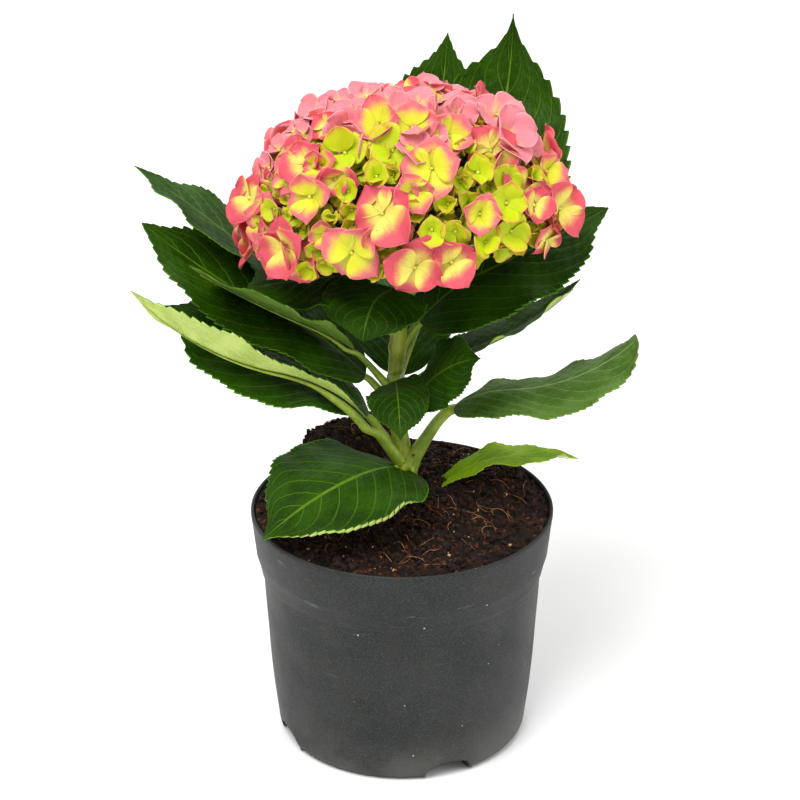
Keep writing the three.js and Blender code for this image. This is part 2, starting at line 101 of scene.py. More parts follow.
def smooth_step(values: np.ndarray, low: float, high: float) -> np.ndarray:
    """0 below low, 1 above high, and 3x^2 - 2x^3 of the share between them."""
    share = np.clip((values - low) / (high - low), 0, 1)
    return share * share * (3 - 2 * share)


def value_noise(x: np.ndarray, y: np.ndarray, cell: float, seed: int) -> np.ndarray:
    """Random values from -1 to 1 on a square lattice, blended smoothly between its points.

    Args:
        x: First coordinate of each point.
        y: Second coordinate of each point.
        cell: Side of the lattice's squares, in the points' unit.
        seed: Seed of the lattice's values.

    Returns:
        One value for each point.
    """
    table = np.random.default_rng(seed).uniform(-1, 1, (LATTICE, LATTICE))
    across, along = x / cell + 2 * LATTICE, y / cell + 2 * LATTICE
    column, row = np.floor(across).astype(int), np.floor(along).astype(int)
    u = smooth_step(across - column, 0, 1)
    v = smooth_step(along - row, 0, 1)

    def corner(dx: int, dy: int) -> np.ndarray:
        """The values at one corner of each point's square."""
        return table[(column + dx) % LATTICE, (row + dy) % LATTICE]

    low = corner(0, 0) * (1 - u) + corner(1, 0) * u
    high = corner(0, 1) * (1 - u) + corner(1, 1) * u
    return low * (1 - v) + high * v


# Meshes


@dataclass
class Skin:
    """Four-cornered faces in the making.

    points is (n, 3) in millimetres, quads (m, 4), face_map and bake_map (m, 4, 2), and finish (m,).
    """

    points: np.ndarray
    quads: np.ndarray
    face_map: np.ndarray
    bake_map: np.ndarray
    finish: np.ndarray

    @staticmethod
    def joined(skins: list[Skin]) -> Skin:
        """Several skins as one, in order.

        Args:
            skins: The skins.

        Returns:
            One skin that holds them all.
        """
        starts = np.cumsum([0] + [len(skin.points) for skin in skins[:-1]])
        points, face_map, bake_map, finish = (
            np.concatenate([getattr(skin, part) for skin in skins])
            for part in ("points", "face_map", "bake_map", "finish")
        )
        quads = np.concatenate([skin.quads + start for skin, start in zip(skins, starts)])
        return Skin(points, quads, face_map, bake_map, finish)

    def build(self, name: str, finishes: list[bpy.types.Material], smooth: bool = True) -> bpy.types.Object:
        """Puts the faces into a new object at the origin that rides on the plant's body.

        Args:
            name: The piece's name.
            finishes: The materials that the faces' finish numbers point to.
            smooth: Whether the faces are shaded smoothly.

        Returns:
            The new object.
        """
        mesh = bpy.data.meshes.new(name)
        count = len(self.quads)
        mesh.vertices.add(len(self.points))
        mesh.vertices.foreach_set("co", (self.points * MM).astype(np.float32).ravel())
        mesh.loops.add(4 * count)
        mesh.loops.foreach_set("vertex_index", self.quads.astype(np.int32).ravel())
        mesh.polygons.add(count)
        mesh.polygons.foreach_set("loop_start", np.arange(0, 4 * count, 4, dtype=np.int32))
        mesh.update(calc_edges=True)
        mesh.polygons.foreach_set("use_smooth", np.full(count, smooth))
        mesh.polygons.foreach_set("material_index", self.finish.astype(np.int32))
        for layer, values in ((FACE_MAP, self.face_map), (BAKE_MAP, self.bake_map)):
            made = mesh.uv_layers.new(name=layer)
            made.data.foreach_set("uv", values.astype(np.float32).ravel())
        for finish in finishes:
            mesh.materials.append(finish)
        mesh.validate()
        piece = bpy.data.objects.new(name, mesh)
        bpy.context.scene.collection.objects.link(piece)
        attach(piece, ROOT)
        LOG.info("%s: %d faces", name, count)
        return piece


def grid_quads(rows: int, columns: int, wrap: bool = False, flip: bool = False) -> np.ndarray:
    """Corner numbers of a grid's faces, which face along (column direction) x (row direction).

    Args:
        rows: Points along the grid.
        columns: Points across the grid.
        wrap: Whether the last column joins the first.
        flip: Whether the faces are turned over.

    Returns:
        (m, 4) corner numbers.
    """
    numbers = np.arange(rows * columns).reshape(rows, columns)
    if wrap:
        numbers = np.concatenate([numbers, numbers[:, :1]], axis=1)
    corners = [numbers[:-1, :-1], numbers[:-1, 1:], numbers[1:, 1:], numbers[1:, :-1]]
    quads = np.stack(corners, axis=-1).reshape(-1, 4)
    return quads[:, ::-1] if flip else quads


def in_strip(share: np.ndarray, low: float, high: float) -> np.ndarray:
    """Map coordinates with their first one squeezed into the strip from low to high."""
    return np.stack([low + share[..., 0] * (high - low), 0.01 + share[..., 1] * 0.98], axis=-1)


def shells(
    upper: np.ndarray, lower: np.ndarray, finishes: tuple[int, int], strips: tuple[float, ...],
) -> Skin:
    """Closed thin shells: an upper and a lower grid of the same size, and a rim that joins them.

    Rows run along a blade and columns from its right to its left, seen from its foot, so the
    upper side faces (row direction) x (column direction).

    Args:
        upper: (shells, rows, columns, 3) points of the upper sides.
        lower: The points under them.
        finishes: Finish numbers of the upper and the lower sides.
        strips: Where the bake map's strips of the upper and the lower side start and end.

    Returns:
        All the shells as one skin. The face map runs from 0 to 1 across and along each side.
    """
    count, rows, columns = upper.shape[:3]
    size = rows * columns
    across, along = np.meshgrid(np.linspace(0, 1, columns), np.linspace(0, 1, rows))
    share = np.stack([across, along], axis=-1).reshape(-1, 2)
    numbers = np.arange(size).reshape(rows, columns)
    loop = np.concatenate([
        numbers[:-1, 0], numbers[-1, :-1], numbers[:0:-1, -1], numbers[0, :0:-1],
    ])
    following = np.roll(loop, -1)
    rim = np.stack([loop + size, following + size, following, loop], axis=-1)
    top, bottom = grid_quads(rows, columns, flip=True), grid_quads(rows, columns)
    one = np.concatenate([top, bottom + size, rim])
    upper_map, lower_map = in_strip(share, *strips[:2]), in_strip(share, *strips[2:])
    edge = np.where(share < 0.5, -0.008, 0.008) * (np.abs(share - 0.5) > 0.499)
    rim_map = np.stack([
        (upper_map + edge)[loop], (upper_map + edge)[following], upper_map[following], upper_map[loop],
    ], axis=1)
    face_map = np.concatenate([share[top], share[bottom], share[rim % size]])
    bake_map = np.concatenate([upper_map[top], lower_map[bottom], rim_map])
    finish = np.repeat([finishes[0], finishes[1], finishes[0]], [len(top), len(bottom), len(rim)])
    points = np.stack([upper.reshape(count, size, 3), lower.reshape(count, size, 3)], axis=1)
    quads = one[None] + 2 * size * np.arange(count)[:, None, None]
    return Skin(
        points.reshape(-1, 3),
        quads.reshape(-1, 4),
        np.tile(face_map, (count, 1, 1)),
        np.tile(bake_map, (count, 1, 1)),
        np.tile(finish, count),
    )


def cap_quads(ring: np.ndarray) -> np.ndarray:
    """Faces that close a ring with an even number of points, facing back along its turn.

    Args:
        ring: The ring's point numbers in order.

    Returns:
        (m, 4) corner numbers.
    """
    half = len(ring) // 2 - 1
    first = np.arange(half)
    return np.stack([ring[first], ring[first + 1], ring[-2 - first], ring[-1 - first]], axis=-1)


def closed_rings(rings: np.ndarray, finish: int, strip: tuple[float, float] = (0.01, 0.99)) -> Skin:
    """Rows of rings joined along their length and capped at both ends.

    Args:
        rings: (pieces, rings, points round, 3), turning to the left seen against the row direction.
        finish: Finish number of the faces.
        strip: Where the bake map's strip starts and ends.

    Returns:
        All the pieces as one skin. The face map runs round each ring and along the rings.
    """
    count, rows, columns = rings.shape[:3]
    size = rows * columns
    side = grid_quads(rows, columns, wrap=True)
    numbers = np.arange(size).reshape(rows, columns)
    caps = np.concatenate([cap_quads(numbers[0, ::-1]), cap_quads(numbers[-1])])
    row, column = np.divmod(side, columns)
    last = (column == 0) & (np.arange(4)[None] % 3 != 0)
    side_map = np.stack([(column + last * columns) / columns, row / (rows - 1)], axis=-1)
    cap_map = np.stack([caps % columns / columns, caps // columns / (rows - 1)], axis=-1)
    one = np.concatenate([side, caps])
    face_map = np.concatenate([side_map, cap_map])
    quads = one[None] + size * np.arange(count)[:, None, None]
    return Skin(
        rings.reshape(-1, 3),
        quads.reshape(-1, 4),
        np.tile(face_map, (count, 1, 1)),
        np.tile(in_strip(face_map, *strip), (count, 1, 1)),
        np.full(count * len(one), finish),
    )


def tube_rings(paths: np.ndarray, radii: np.ndarray, sides: int) -> np.ndarray:
    """Round sections along paths: centre + radius (cos a * across - sin a * up).

    Args:
        paths: (tubes, points, 3) centre lines.
        radii: (tubes, points) radii.
        sides: Points round each section.

    Returns:
        (tubes, points, sides, 3) points.
    """
    along = unit(np.gradient(paths, axis=1))
    steep = np.abs(along[..., 2:].mean(axis=1, keepdims=True)) > 0.9
    guide = np.where(steep, [1.0, 0.0, 0.0], [0.0, 0.0, 1.0])
    across = unit(np.cross(along, guide))
    up = np.cross(across, along)
    angle = np.linspace(0, 2 * math.pi, sides, endpoint=False)
    reach = radii[..., None, None]
    sideways = np.cos(angle)[:, None] * across[:, :, None, :]
    upwards = np.sin(angle)[:, None] * up[:, :, None, :]
    return paths[:, :, None, :] + reach * (sideways - upwards)


def lumps(centres: np.ndarray, sizes: np.ndarray, seed: int, rough: float = 0.3) -> Skin:
    """Small irregular lumps: a rounded cube of 26 points whose radii vary, turned at random.

    Args:
        centres: (lumps, 3) places.
        sizes: (lumps, 3) half sizes.
        seed: Seed of the shapes and turns.
        rough: How much a point's radius varies, as a share of it.

    Returns:
        All the lumps as one skin.
    """
    rng = np.random.default_rng(seed)
    lattice = np.stack(np.meshgrid(*[[-1, 0, 1]] * 3, indexing="ij"), axis=-1).reshape(-1, 3)
    number = np.full(27, -1)
    shown = np.any(lattice != 0, axis=1)
    number[shown] = np.arange(26)
    number = number.reshape(3, 3, 3)
    sheets = []
    for axis in range(3):
        for side in (0, 2):
            face = np.moveaxis(number, axis, 0)[side]
            turn = grid_quads(3, 3, flip=(side == 0) != (axis == 1))
            sheets.append(face.ravel()[turn][:, ::-1])
    quads = np.concatenate(sheets)
    ball = unit(lattice[shown].astype(float))
    count = len(centres)
    shape = ball[None] * rng.uniform(1 - rough, 1 + rough, (count, 26, 1)) * sizes[:, None, :]
    first, second = unit(rng.normal(size=(count, 3))), rng.normal(size=(count, 3))
    third = unit(np.cross(first, second))
    turns = np.stack([first, np.cross(third, first), third], axis=1)
    points = centres[:, None, :] + np.einsum("lpi,lij->lpj", shape, turns)
    tiled = quads[None] + 26 * np.arange(count)[:, None, None]
    faces = len(quads) * count
    corners = np.tile(np.array([[0.05, 0.05], [0.95, 0.05], [0.95, 0.95], [0.05, 0.95]]), (faces, 1, 1))
    return Skin(points.reshape(-1, 3), tiled.reshape(-1, 4), corners, corners, np.zeros(faces, int))


# Finishes


class Paint:
    """Short ways to lay the nodes of one material round its Principled shader."""

    def __init__(self, name: str) -> None:
        """Starts a material with a plain shader.

        Args:
            name: The material's name.
        """
        self.material = bpy.data.materials.new(name)
        self.material.use_nodes = True
        self.tree = self.material.node_tree
        self.shader = self.tree.nodes["Principled BSDF"]

    def node(self, kind: str, **settings: object) -> bpy.types.Node:
        """Adds a node.

        Args:
            kind: The node's type.
            **settings: Its settings by name.

        Returns:
            The node.
        """
        made = self.tree.nodes.new(kind)
        for key, value in settings.items():
            setattr(made, key, value)
        return made

    def feed(self, socket: Socket, value: object) -> None:
        """Links a socket to another, or sets its plain value.

        Args:
            socket: The input.
            value: A socket, a number, a vector or a colour.
        """
        if isinstance(value, Socket):
            self.tree.links.new(value, socket)
        elif isinstance(value, tuple) and len(value) == 3 and socket.type == "RGBA":
            socket.default_value = (*value, 1.0)
        else:
            socket.default_value = value

    def wired(self, made: bpy.types.Node, values: dict[str | int, object]) -> bpy.types.Node:
        """Feeds a node's inputs.

        Args:
            made: The node.
            values: Sockets or plain values by the input's name or number.

        Returns:
            The node.
        """
        for key, value in values.items():
            self.feed(made.inputs[key], value)
        return made

    def math(self, operation: str, *values: object) -> Socket:
        """The result of a Math node on numbers or sockets."""
        made = self.node("ShaderNodeMath", operation=operation)
        return self.wired(made, dict(enumerate(values))).outputs[0]

    def split(self, vector: Socket) -> list[Socket]:
        """The three parts of a vector."""
        return list(self.wired(self.node("ShaderNodeSeparateXYZ"), {0: vector}).outputs)

    def face(self) -> tuple[Socket, Socket, Socket]:
        """Reads the piece's own map.

        Returns:
            The map as a whole, the share of the way from the middle to the sides, and the share along.
        """
        source = self.node("ShaderNodeUVMap", uv_map=FACE_MAP).outputs[0]
        across, along, _ = self.split(source)
        return source, self.math("ABSOLUTE", self.math("MULTIPLY_ADD", across, 2.0, -1.0)), along

    def stretched(self, at: Socket, scale: Colour) -> Socket:
        """Coordinates scaled along each axis."""
        return self.wired(self.node("ShaderNodeMapping"), {"Vector": at, "Scale": scale}).outputs[0]

    def place(self, stretch: Colour = (1, 1, 1)) -> Socket:
        """The place on the object in metres, stretched."""
        return self.stretched(self.node("ShaderNodeTexCoord").outputs["Object"], stretch)

    def noise(self, at: Socket, scale: float, detail: float = 3.0, rough: float = 0.55) -> Socket:
        """A cloudy value round 0.5."""
        values = {"Vector": at, "Scale": scale, "Detail": detail, "Roughness": rough}
        return self.wired(self.node("ShaderNodeTexNoise"), values).outputs[0]

    def cells(self, at: Socket, scale: float, feature: str = "F1") -> Socket:
        """The distance to the nearest of scattered points, or to their cells' edges."""
        made = self.node("ShaderNodeTexVoronoi", feature=feature)
        return self.wired(made, {"Vector": at, "Scale": scale}).outputs["Distance"]

    def step(self, value: object, low: float, high: float, start: float = 0.0, end: float = 1.0) -> Socket:
        """A smooth step of a value from start at low to end at high."""
        made = self.node("ShaderNodeMapRange", interpolation_type="SMOOTHSTEP")
        return self.wired(made, dict(enumerate((value, low, high, start, end)))).outputs[0]

    def off_middle(self, value: Socket) -> Socket:
        """0 half way between whole numbers, and 0.5 at them."""
        return self.math("ABSOLUTE", self.math("SUBTRACT", self.math("FRACT", value), 0.5))

    def blend(self, share: object, first: object, second: object) -> Socket:
        """Two colours mixed by a share."""
        made = self.node("ShaderNodeMix", data_type="RGBA")
        return self.wired(made, {0: share, 6: first, 7: second}).outputs[2]

    def over(self, base: object, colour: object, mask: object, share: float) -> Socket:
        """A colour laid over the base where a mask is 1, as thickly as the share."""
        return self.blend(self.math("MULTIPLY", mask, share), base, colour)

    def relief(self, height: Socket, depth: float, strength: float = 1.0) -> Socket:
        """A bump of a height, depth metres high."""
        values = {"Strength": strength, "Distance": depth, "Height": height}
        return self.wired(self.node("ShaderNodeBump"), values).outputs[0]

    def finish(self, base: Socket, roughness: object, gloss: float, **more: object) -> bpy.types.Material:
        """Feeds the shader.

        Args:
            base: The colour.
            roughness: The roughness, even or by place.
            gloss: The specular level.
            **more: Values of further inputs, whose names have underscores for spaces.

        Returns:
            The material.
        """
        values = {key.replace("_", " "): value for key, value in more.items()}
        values |= {"Base Color": base, "Roughness": roughness, "Specular IOR Level": gloss}
        self.wired(self.shader, values)
        return self.material


@dataclass(frozen=True)
class VeinRule:
    """Where a leaf's side veins run: along + forward |across| + arch across^2 is constant on each."""

    pairs: float = 8.5
    forward: float = -0.34
    arch: float = -0.12
    width: float = 0.11  # of the space between two veins


@dataclass(frozen=True)
class LeafFinish:
    """The upper side of a leaf: mottled green, lighter along its veins and on its teeth, with painted shade
    on the sunken rungs between its small raised fields.
    """

    name: str
    dark: Colour
    light: Colour
    vein: Colour
    margin: Colour
    roughness: float = 0.46
    gloss: float = 0.07
    veins: VeinRule = VeinRule()

    def make(self) -> bpy.types.Material:
        """Lays the veins on the blade's own map and the mottle on its place.

        Returns:
            The material.
        """
        paint = Paint(self.name)
        _, side, along = paint.face()
        place = paint.place()
        phase = self.vein_phase(paint, side, along, place)
        lines = self.side_veins(paint, side, phase)
        quilt_and_shade = self.ladder(paint, side, phase, place)
        rib = paint.step(side, 0.008, 0.026, 1.0, 0.0)
        mesh = paint.step(paint.cells(place, 620.0, "DISTANCE_TO_EDGE"), 0.02, 0.12, 1.0, 0.0)
        mottle = paint.step(paint.noise(place, 42.0, 4.0, 0.6), 0.3, 0.72)
        base = paint.blend(mottle, self.dark, self.light)
        for mask, share in ((mesh, 0.1), (lines, 0.55), (rib, 0.8)):
            base = paint.over(base, self.vein, mask, share)
        base = paint.over(base, self.margin, paint.step(side, 0.955, 0.995), 0.7)
        # painted shade: the sunken rungs between the raised fields are darkened towards the dark green
        base = paint.blend(paint.math("MULTIPLY_ADD", quilt_and_shade, -0.16, 0.16), base, self.dark)
        grain = paint.math("MULTIPLY_ADD", mesh, -0.2, paint.noise(place, 260.0, 2.0))
        normal = paint.relief(paint.math("ADD", grain, quilt_and_shade), 0.0005, 0.36)
        roughness = paint.step(mottle, 0.0, 1.0, self.roughness + 0.1, self.roughness - 0.04)
        return paint.finish(base, roughness, self.gloss, Normal=normal)

    def vein_phase(self, paint: Paint, side: Socket, along: Socket, place: Socket) -> Socket:
        """A number that grows by 1 from one side vein to the next.

        Args:
            paint: The material in the making.
            side: Share of the way from the midrib to the margin.
            along: Share along the blade.
            place: Place on the object, for a slight sway.

        Returns:
            The number.
        """
        rule = self.veins
        bend = paint.math("MULTIPLY", side, paint.math("MULTIPLY_ADD", side, rule.arch, rule.forward))
        sway = paint.math("MULTIPLY_ADD", paint.noise(place, 30.0, 2.0), 0.03, -0.015)
        return paint.math("MULTIPLY", paint.math("ADD", paint.math("ADD", along, bend), sway), rule.pairs)

    def side_veins(self, paint: Paint, side: Socket, phase: Socket) -> Socket:
        """Draws the side veins, which fade towards the margin.

        Args:
            paint: The material in the making.
            side: Share of the way from the midrib to the margin.
            phase: The number that grows from vein to vein.

        Returns:
            1 on the side veins and 0 between them.
        """
        offset, width = paint.off_middle(phase), self.veins.width
        line = paint.step(offset, 0.5 - width * 0.45, 0.5 - width * 0.08, 0.0, 1.0)
        return paint.math("MULTIPLY", line, paint.step(side, 0.8, 1.0, 1.0, 0.15))

    def ladder(self, paint: Paint, side: Socket, phase: Socket, place: Socket) -> Socket:
        """Draws the rungs that join the side veins.

        Args:
            paint: The material in the making.
            side: Share of the way from the midrib to the margin.
            phase: The number that grows from vein to vein.
            place: Place on the object, which warps the rungs.

        Returns:
            1 in the middle of the small fields between the rungs, 0 on the rungs.
        """
        warp = paint.math("MULTIPLY_ADD", paint.noise(place, 120.0, 2.0), 1.6, -0.8)
        shift = paint.math("MULTIPLY", paint.math("FLOOR", phase), 0.37)
        steps = paint.math("ADD", paint.math("MULTIPLY_ADD", side, 13.0, warp), shift)
        rows = paint.math("ADD", paint.math("MULTIPLY", phase, 2.0), paint.math("MULTIPLY", warp, 0.3))
        fields = [paint.step(paint.off_middle(value), 0.15, 0.5, 1.0, 0.0) for value in (steps, rows)]
        return paint.math("MULTIPLY", *fields)


@dataclass(frozen=True)
class UndersideFinish(LeafFinish):
    """The underside of a leaf: paler and duller, with its veins standing out."""

    def make(self) -> bpy.types.Material:
        """As the upper side, with softer contrast.

        Returns:
            The material.
        """
        paint = Paint(self.name)
        _, side, along = paint.face()
        place = paint.place()
        lines = self.side_veins(paint, side, self.vein_phase(paint, side, along, place))
        mesh = paint.step(paint.cells(place, 560.0, "DISTANCE_TO_EDGE"), 0.02, 0.14, 1.0, 0.0)
        base = paint.blend(paint.step(paint.noise(place, 60.0, 3.0), 0.3, 0.7), self.dark, self.light)
        base = paint.over(base, self.vein, mesh, 0.3)
        base = paint.over(base, self.vein, lines, 0.6)
        base = paint.over(base, self.margin, paint.step(side, 0.93, 0.99), 0.6)
        normal = paint.relief(paint.math("MULTIPLY_ADD", mesh, 0.5, lines), 0.0003, 0.5)
        return paint.finish(base, 0.62, 0.3, Normal=normal)


@dataclass(frozen=True)
class StalkFinish:
    """Green stalk and stem: fine streaks along it, with small dark pores."""

    name: str
    light: Colour
    dark: Colour
    pore: Colour = linear(72, 66, 20)
    pores: float = 0.6

    def make(self) -> bpy.types.Material:
        """Streaks are noise stretched along the height, and pores are scattered flat cells.

        Returns:
            The material.
        """
        paint = Paint(self.name)
        streak = paint.noise(paint.place((1.0, 1.0, 0.18)), 900.0, 3.0)
        cloud = paint.noise(paint.place(), 70.0, 3.0)
        mixed = paint.math("MULTIPLY_ADD", cloud, 0.7, paint.math("MULTIPLY", streak, 0.3))
        base = paint.blend(paint.step(mixed, 0.36, 0.64), self.dark, self.light)
        dots = paint.step(paint.cells(paint.place((1.0, 1.0, 0.55)), 330.0), 0.10, 0.20, 1.0, 0.0)
        chosen = paint.step(paint.noise(paint.place(), 240.0, 1.0), 0.5, 0.56)
        pores = paint.math("MULTIPLY", dots, paint.math("MULTIPLY", chosen, self.pores))
        base = paint.blend(pores, base, self.pore)
        normal = paint.relief(paint.math("SUBTRACT", streak, pores), 0.0003, 0.5)
        return paint.finish(base, 0.48, 0.4, Normal=normal)


@dataclass(frozen=True)
class PetalFinish:
    """A sepal: its heart's colour turns to the blush along it, with fine veins and a pale edge."""

    name: str
    heart: Colour
    blush: Colour
    edge: Colour
    turn: tuple[float, float]  # shares of the sepal's length between which it turns
    vein: Colour

    def make(self) -> bpy.types.Material:
        """Reads only the sepal's own map, so every sepal shares it.

        Returns:
            The material.
        """
        paint = Paint(self.name)
        whole, side, along = paint.face()
        rounded = paint.math("MULTIPLY", side, side)
        bulge = paint.math("MULTIPLY", rounded, paint.step(along, 0.1, 0.6, 0.05, 0.2))
        cloud = paint.math("MULTIPLY_ADD", paint.noise(whole, 5.0, 3.0), 0.3, -0.15)
        front = paint.math("ADD", paint.math("ADD", along, bulge), cloud)
        base = paint.blend(paint.step(front, *self.turn), self.heart, self.blush)
        fan = paint.stretched(whole, (16.0, 1.6, 1.0))
        streak = paint.step(paint.noise(fan, 1.0, 3.0, 0.7), 0.52, 0.68)
        base = paint.over(base, self.vein, streak, 0.35)
        rim = paint.step(paint.math("MAXIMUM", side, along), 0.93, 0.995)
        base = paint.over(base, self.edge, rim, 0.35)
        normal = paint.relief(streak, 0.0002, 0.35)
        return paint.finish(base, 0.58, 0.28, Normal=normal, Subsurface_Weight=0.18, Subsurface_Scale=0.004)


@dataclass(frozen=True)
class PlainPlantFinish:
    """Small beads, crumbs and fibres: two close colours mottled by place."""

    name: str
    light: Colour
    dark: Colour
    roughness: float = 0.7
    grain: float = 400.0

    def make(self) -> bpy.types.Material:
        """Noise between the two colours, which also drives the bump.

        Returns:
            The material.
        """
        paint = Paint(self.name)
        cloud = paint.noise(paint.place(), self.grain, 3.0)
        base = paint.blend(paint.step(cloud, 0.35, 0.65), self.dark, self.light)
        return paint.finish(base, self.roughness, 0.3, Normal=paint.relief(cloud, 0.0004, 0.6))


@dataclass(frozen=True)
class SoilFinish:
    """Moist coir compost: near black with red-brown and tan crumbs."""

    name: str = "coir_compost"

    def make(self) -> bpy.types.Material:
        """Noise darkens the hollows of the bump as painted shade, and two finer kinds of it pick out crumbs.

        Returns:
            The material.
        """
        paint = Paint(self.name)
        place = paint.place()
        cloud = paint.noise(place, 120.0, 5.0, 0.7)
        grain = paint.noise(place, 900.0, 3.0, 0.7)
        # painted shade: the noise that sinks the bump also darkens its hollows
        base = paint.blend(paint.step(cloud, 0.35, 0.7), linear(8, 4, 2), linear(38, 20, 10))
        red = paint.step(paint.noise(place, 330.0, 2.0), 0.6, 0.68)
        base = paint.over(base, linear(112, 56, 32), red, 0.7)
        base = paint.over(base, linear(150, 104, 66), paint.step(grain, 0.68, 0.76), 0.6)
        normal = paint.relief(paint.math("MULTIPLY_ADD", grain, 0.5, cloud), 0.0015, 1.0)
        return paint.finish(base, 0.85, 0.25, Normal=normal)


@dataclass(frozen=True)
class PotFinish:
    """Thin recycled plastic: matt dark grey, finely speckled, dusty at its foot, with a few scuffs."""

    name: str = "pot_plastic"

    def make(self) -> bpy.types.Material:
        """Lays fine grain, faint clouds, dust at the foot, pale specks and level scuffs.

        Returns:
            The material.
        """
        paint = Paint(self.name)
        place = paint.place()
        height = paint.split(place)[2]
        grain = paint.noise(place, 1500.0, 2.0, 0.6)
        cloud = paint.noise(place, 26.0, 4.0, 0.6)
        base = paint.blend(paint.step(cloud, 0.3, 0.72), linear(17, 19, 19), linear(28, 30, 28))
        base = paint.blend(paint.step(grain, 0.42, 0.7, 0.0, 0.5), base, linear(66, 70, 68))
        tint = paint.step(paint.noise(place, 90.0, 2.0), 0.5, 0.75, 0.0, 0.3)
        base = paint.blend(tint, base, linear(46, 44, 34))
        low = paint.step(height, 0.0, 0.03, 1.0, 0.0)
        dust = paint.math("MULTIPLY", low, paint.step(cloud, 0.3, 0.6, 0.1, 0.4))
        base = paint.blend(dust, base, linear(104, 104, 98))
        specks = paint.step(paint.cells(place, 80.0), 0.025, 0.045, 1.0, 0.0)
        base = paint.over(base, linear(196, 190, 170), specks, 0.8)
        streak = paint.noise(paint.place((1.0, 1.0, 9.0)), 40.0, 3.0, 0.7)
        high = paint.step(height, 0.07, 0.1, 0.1, 0.5)
        scuff = paint.math("MULTIPLY", paint.step(streak, 0.64, 0.74), high)
        base = paint.blend(scuff, base, linear(112, 116, 114))
        roughness = paint.step(cloud, 0.3, 0.7, 0.62, 0.5)
        return paint.finish(base, roughness, 0.34, Normal=paint.relief(grain, 0.0003, 0.6))


# Pot


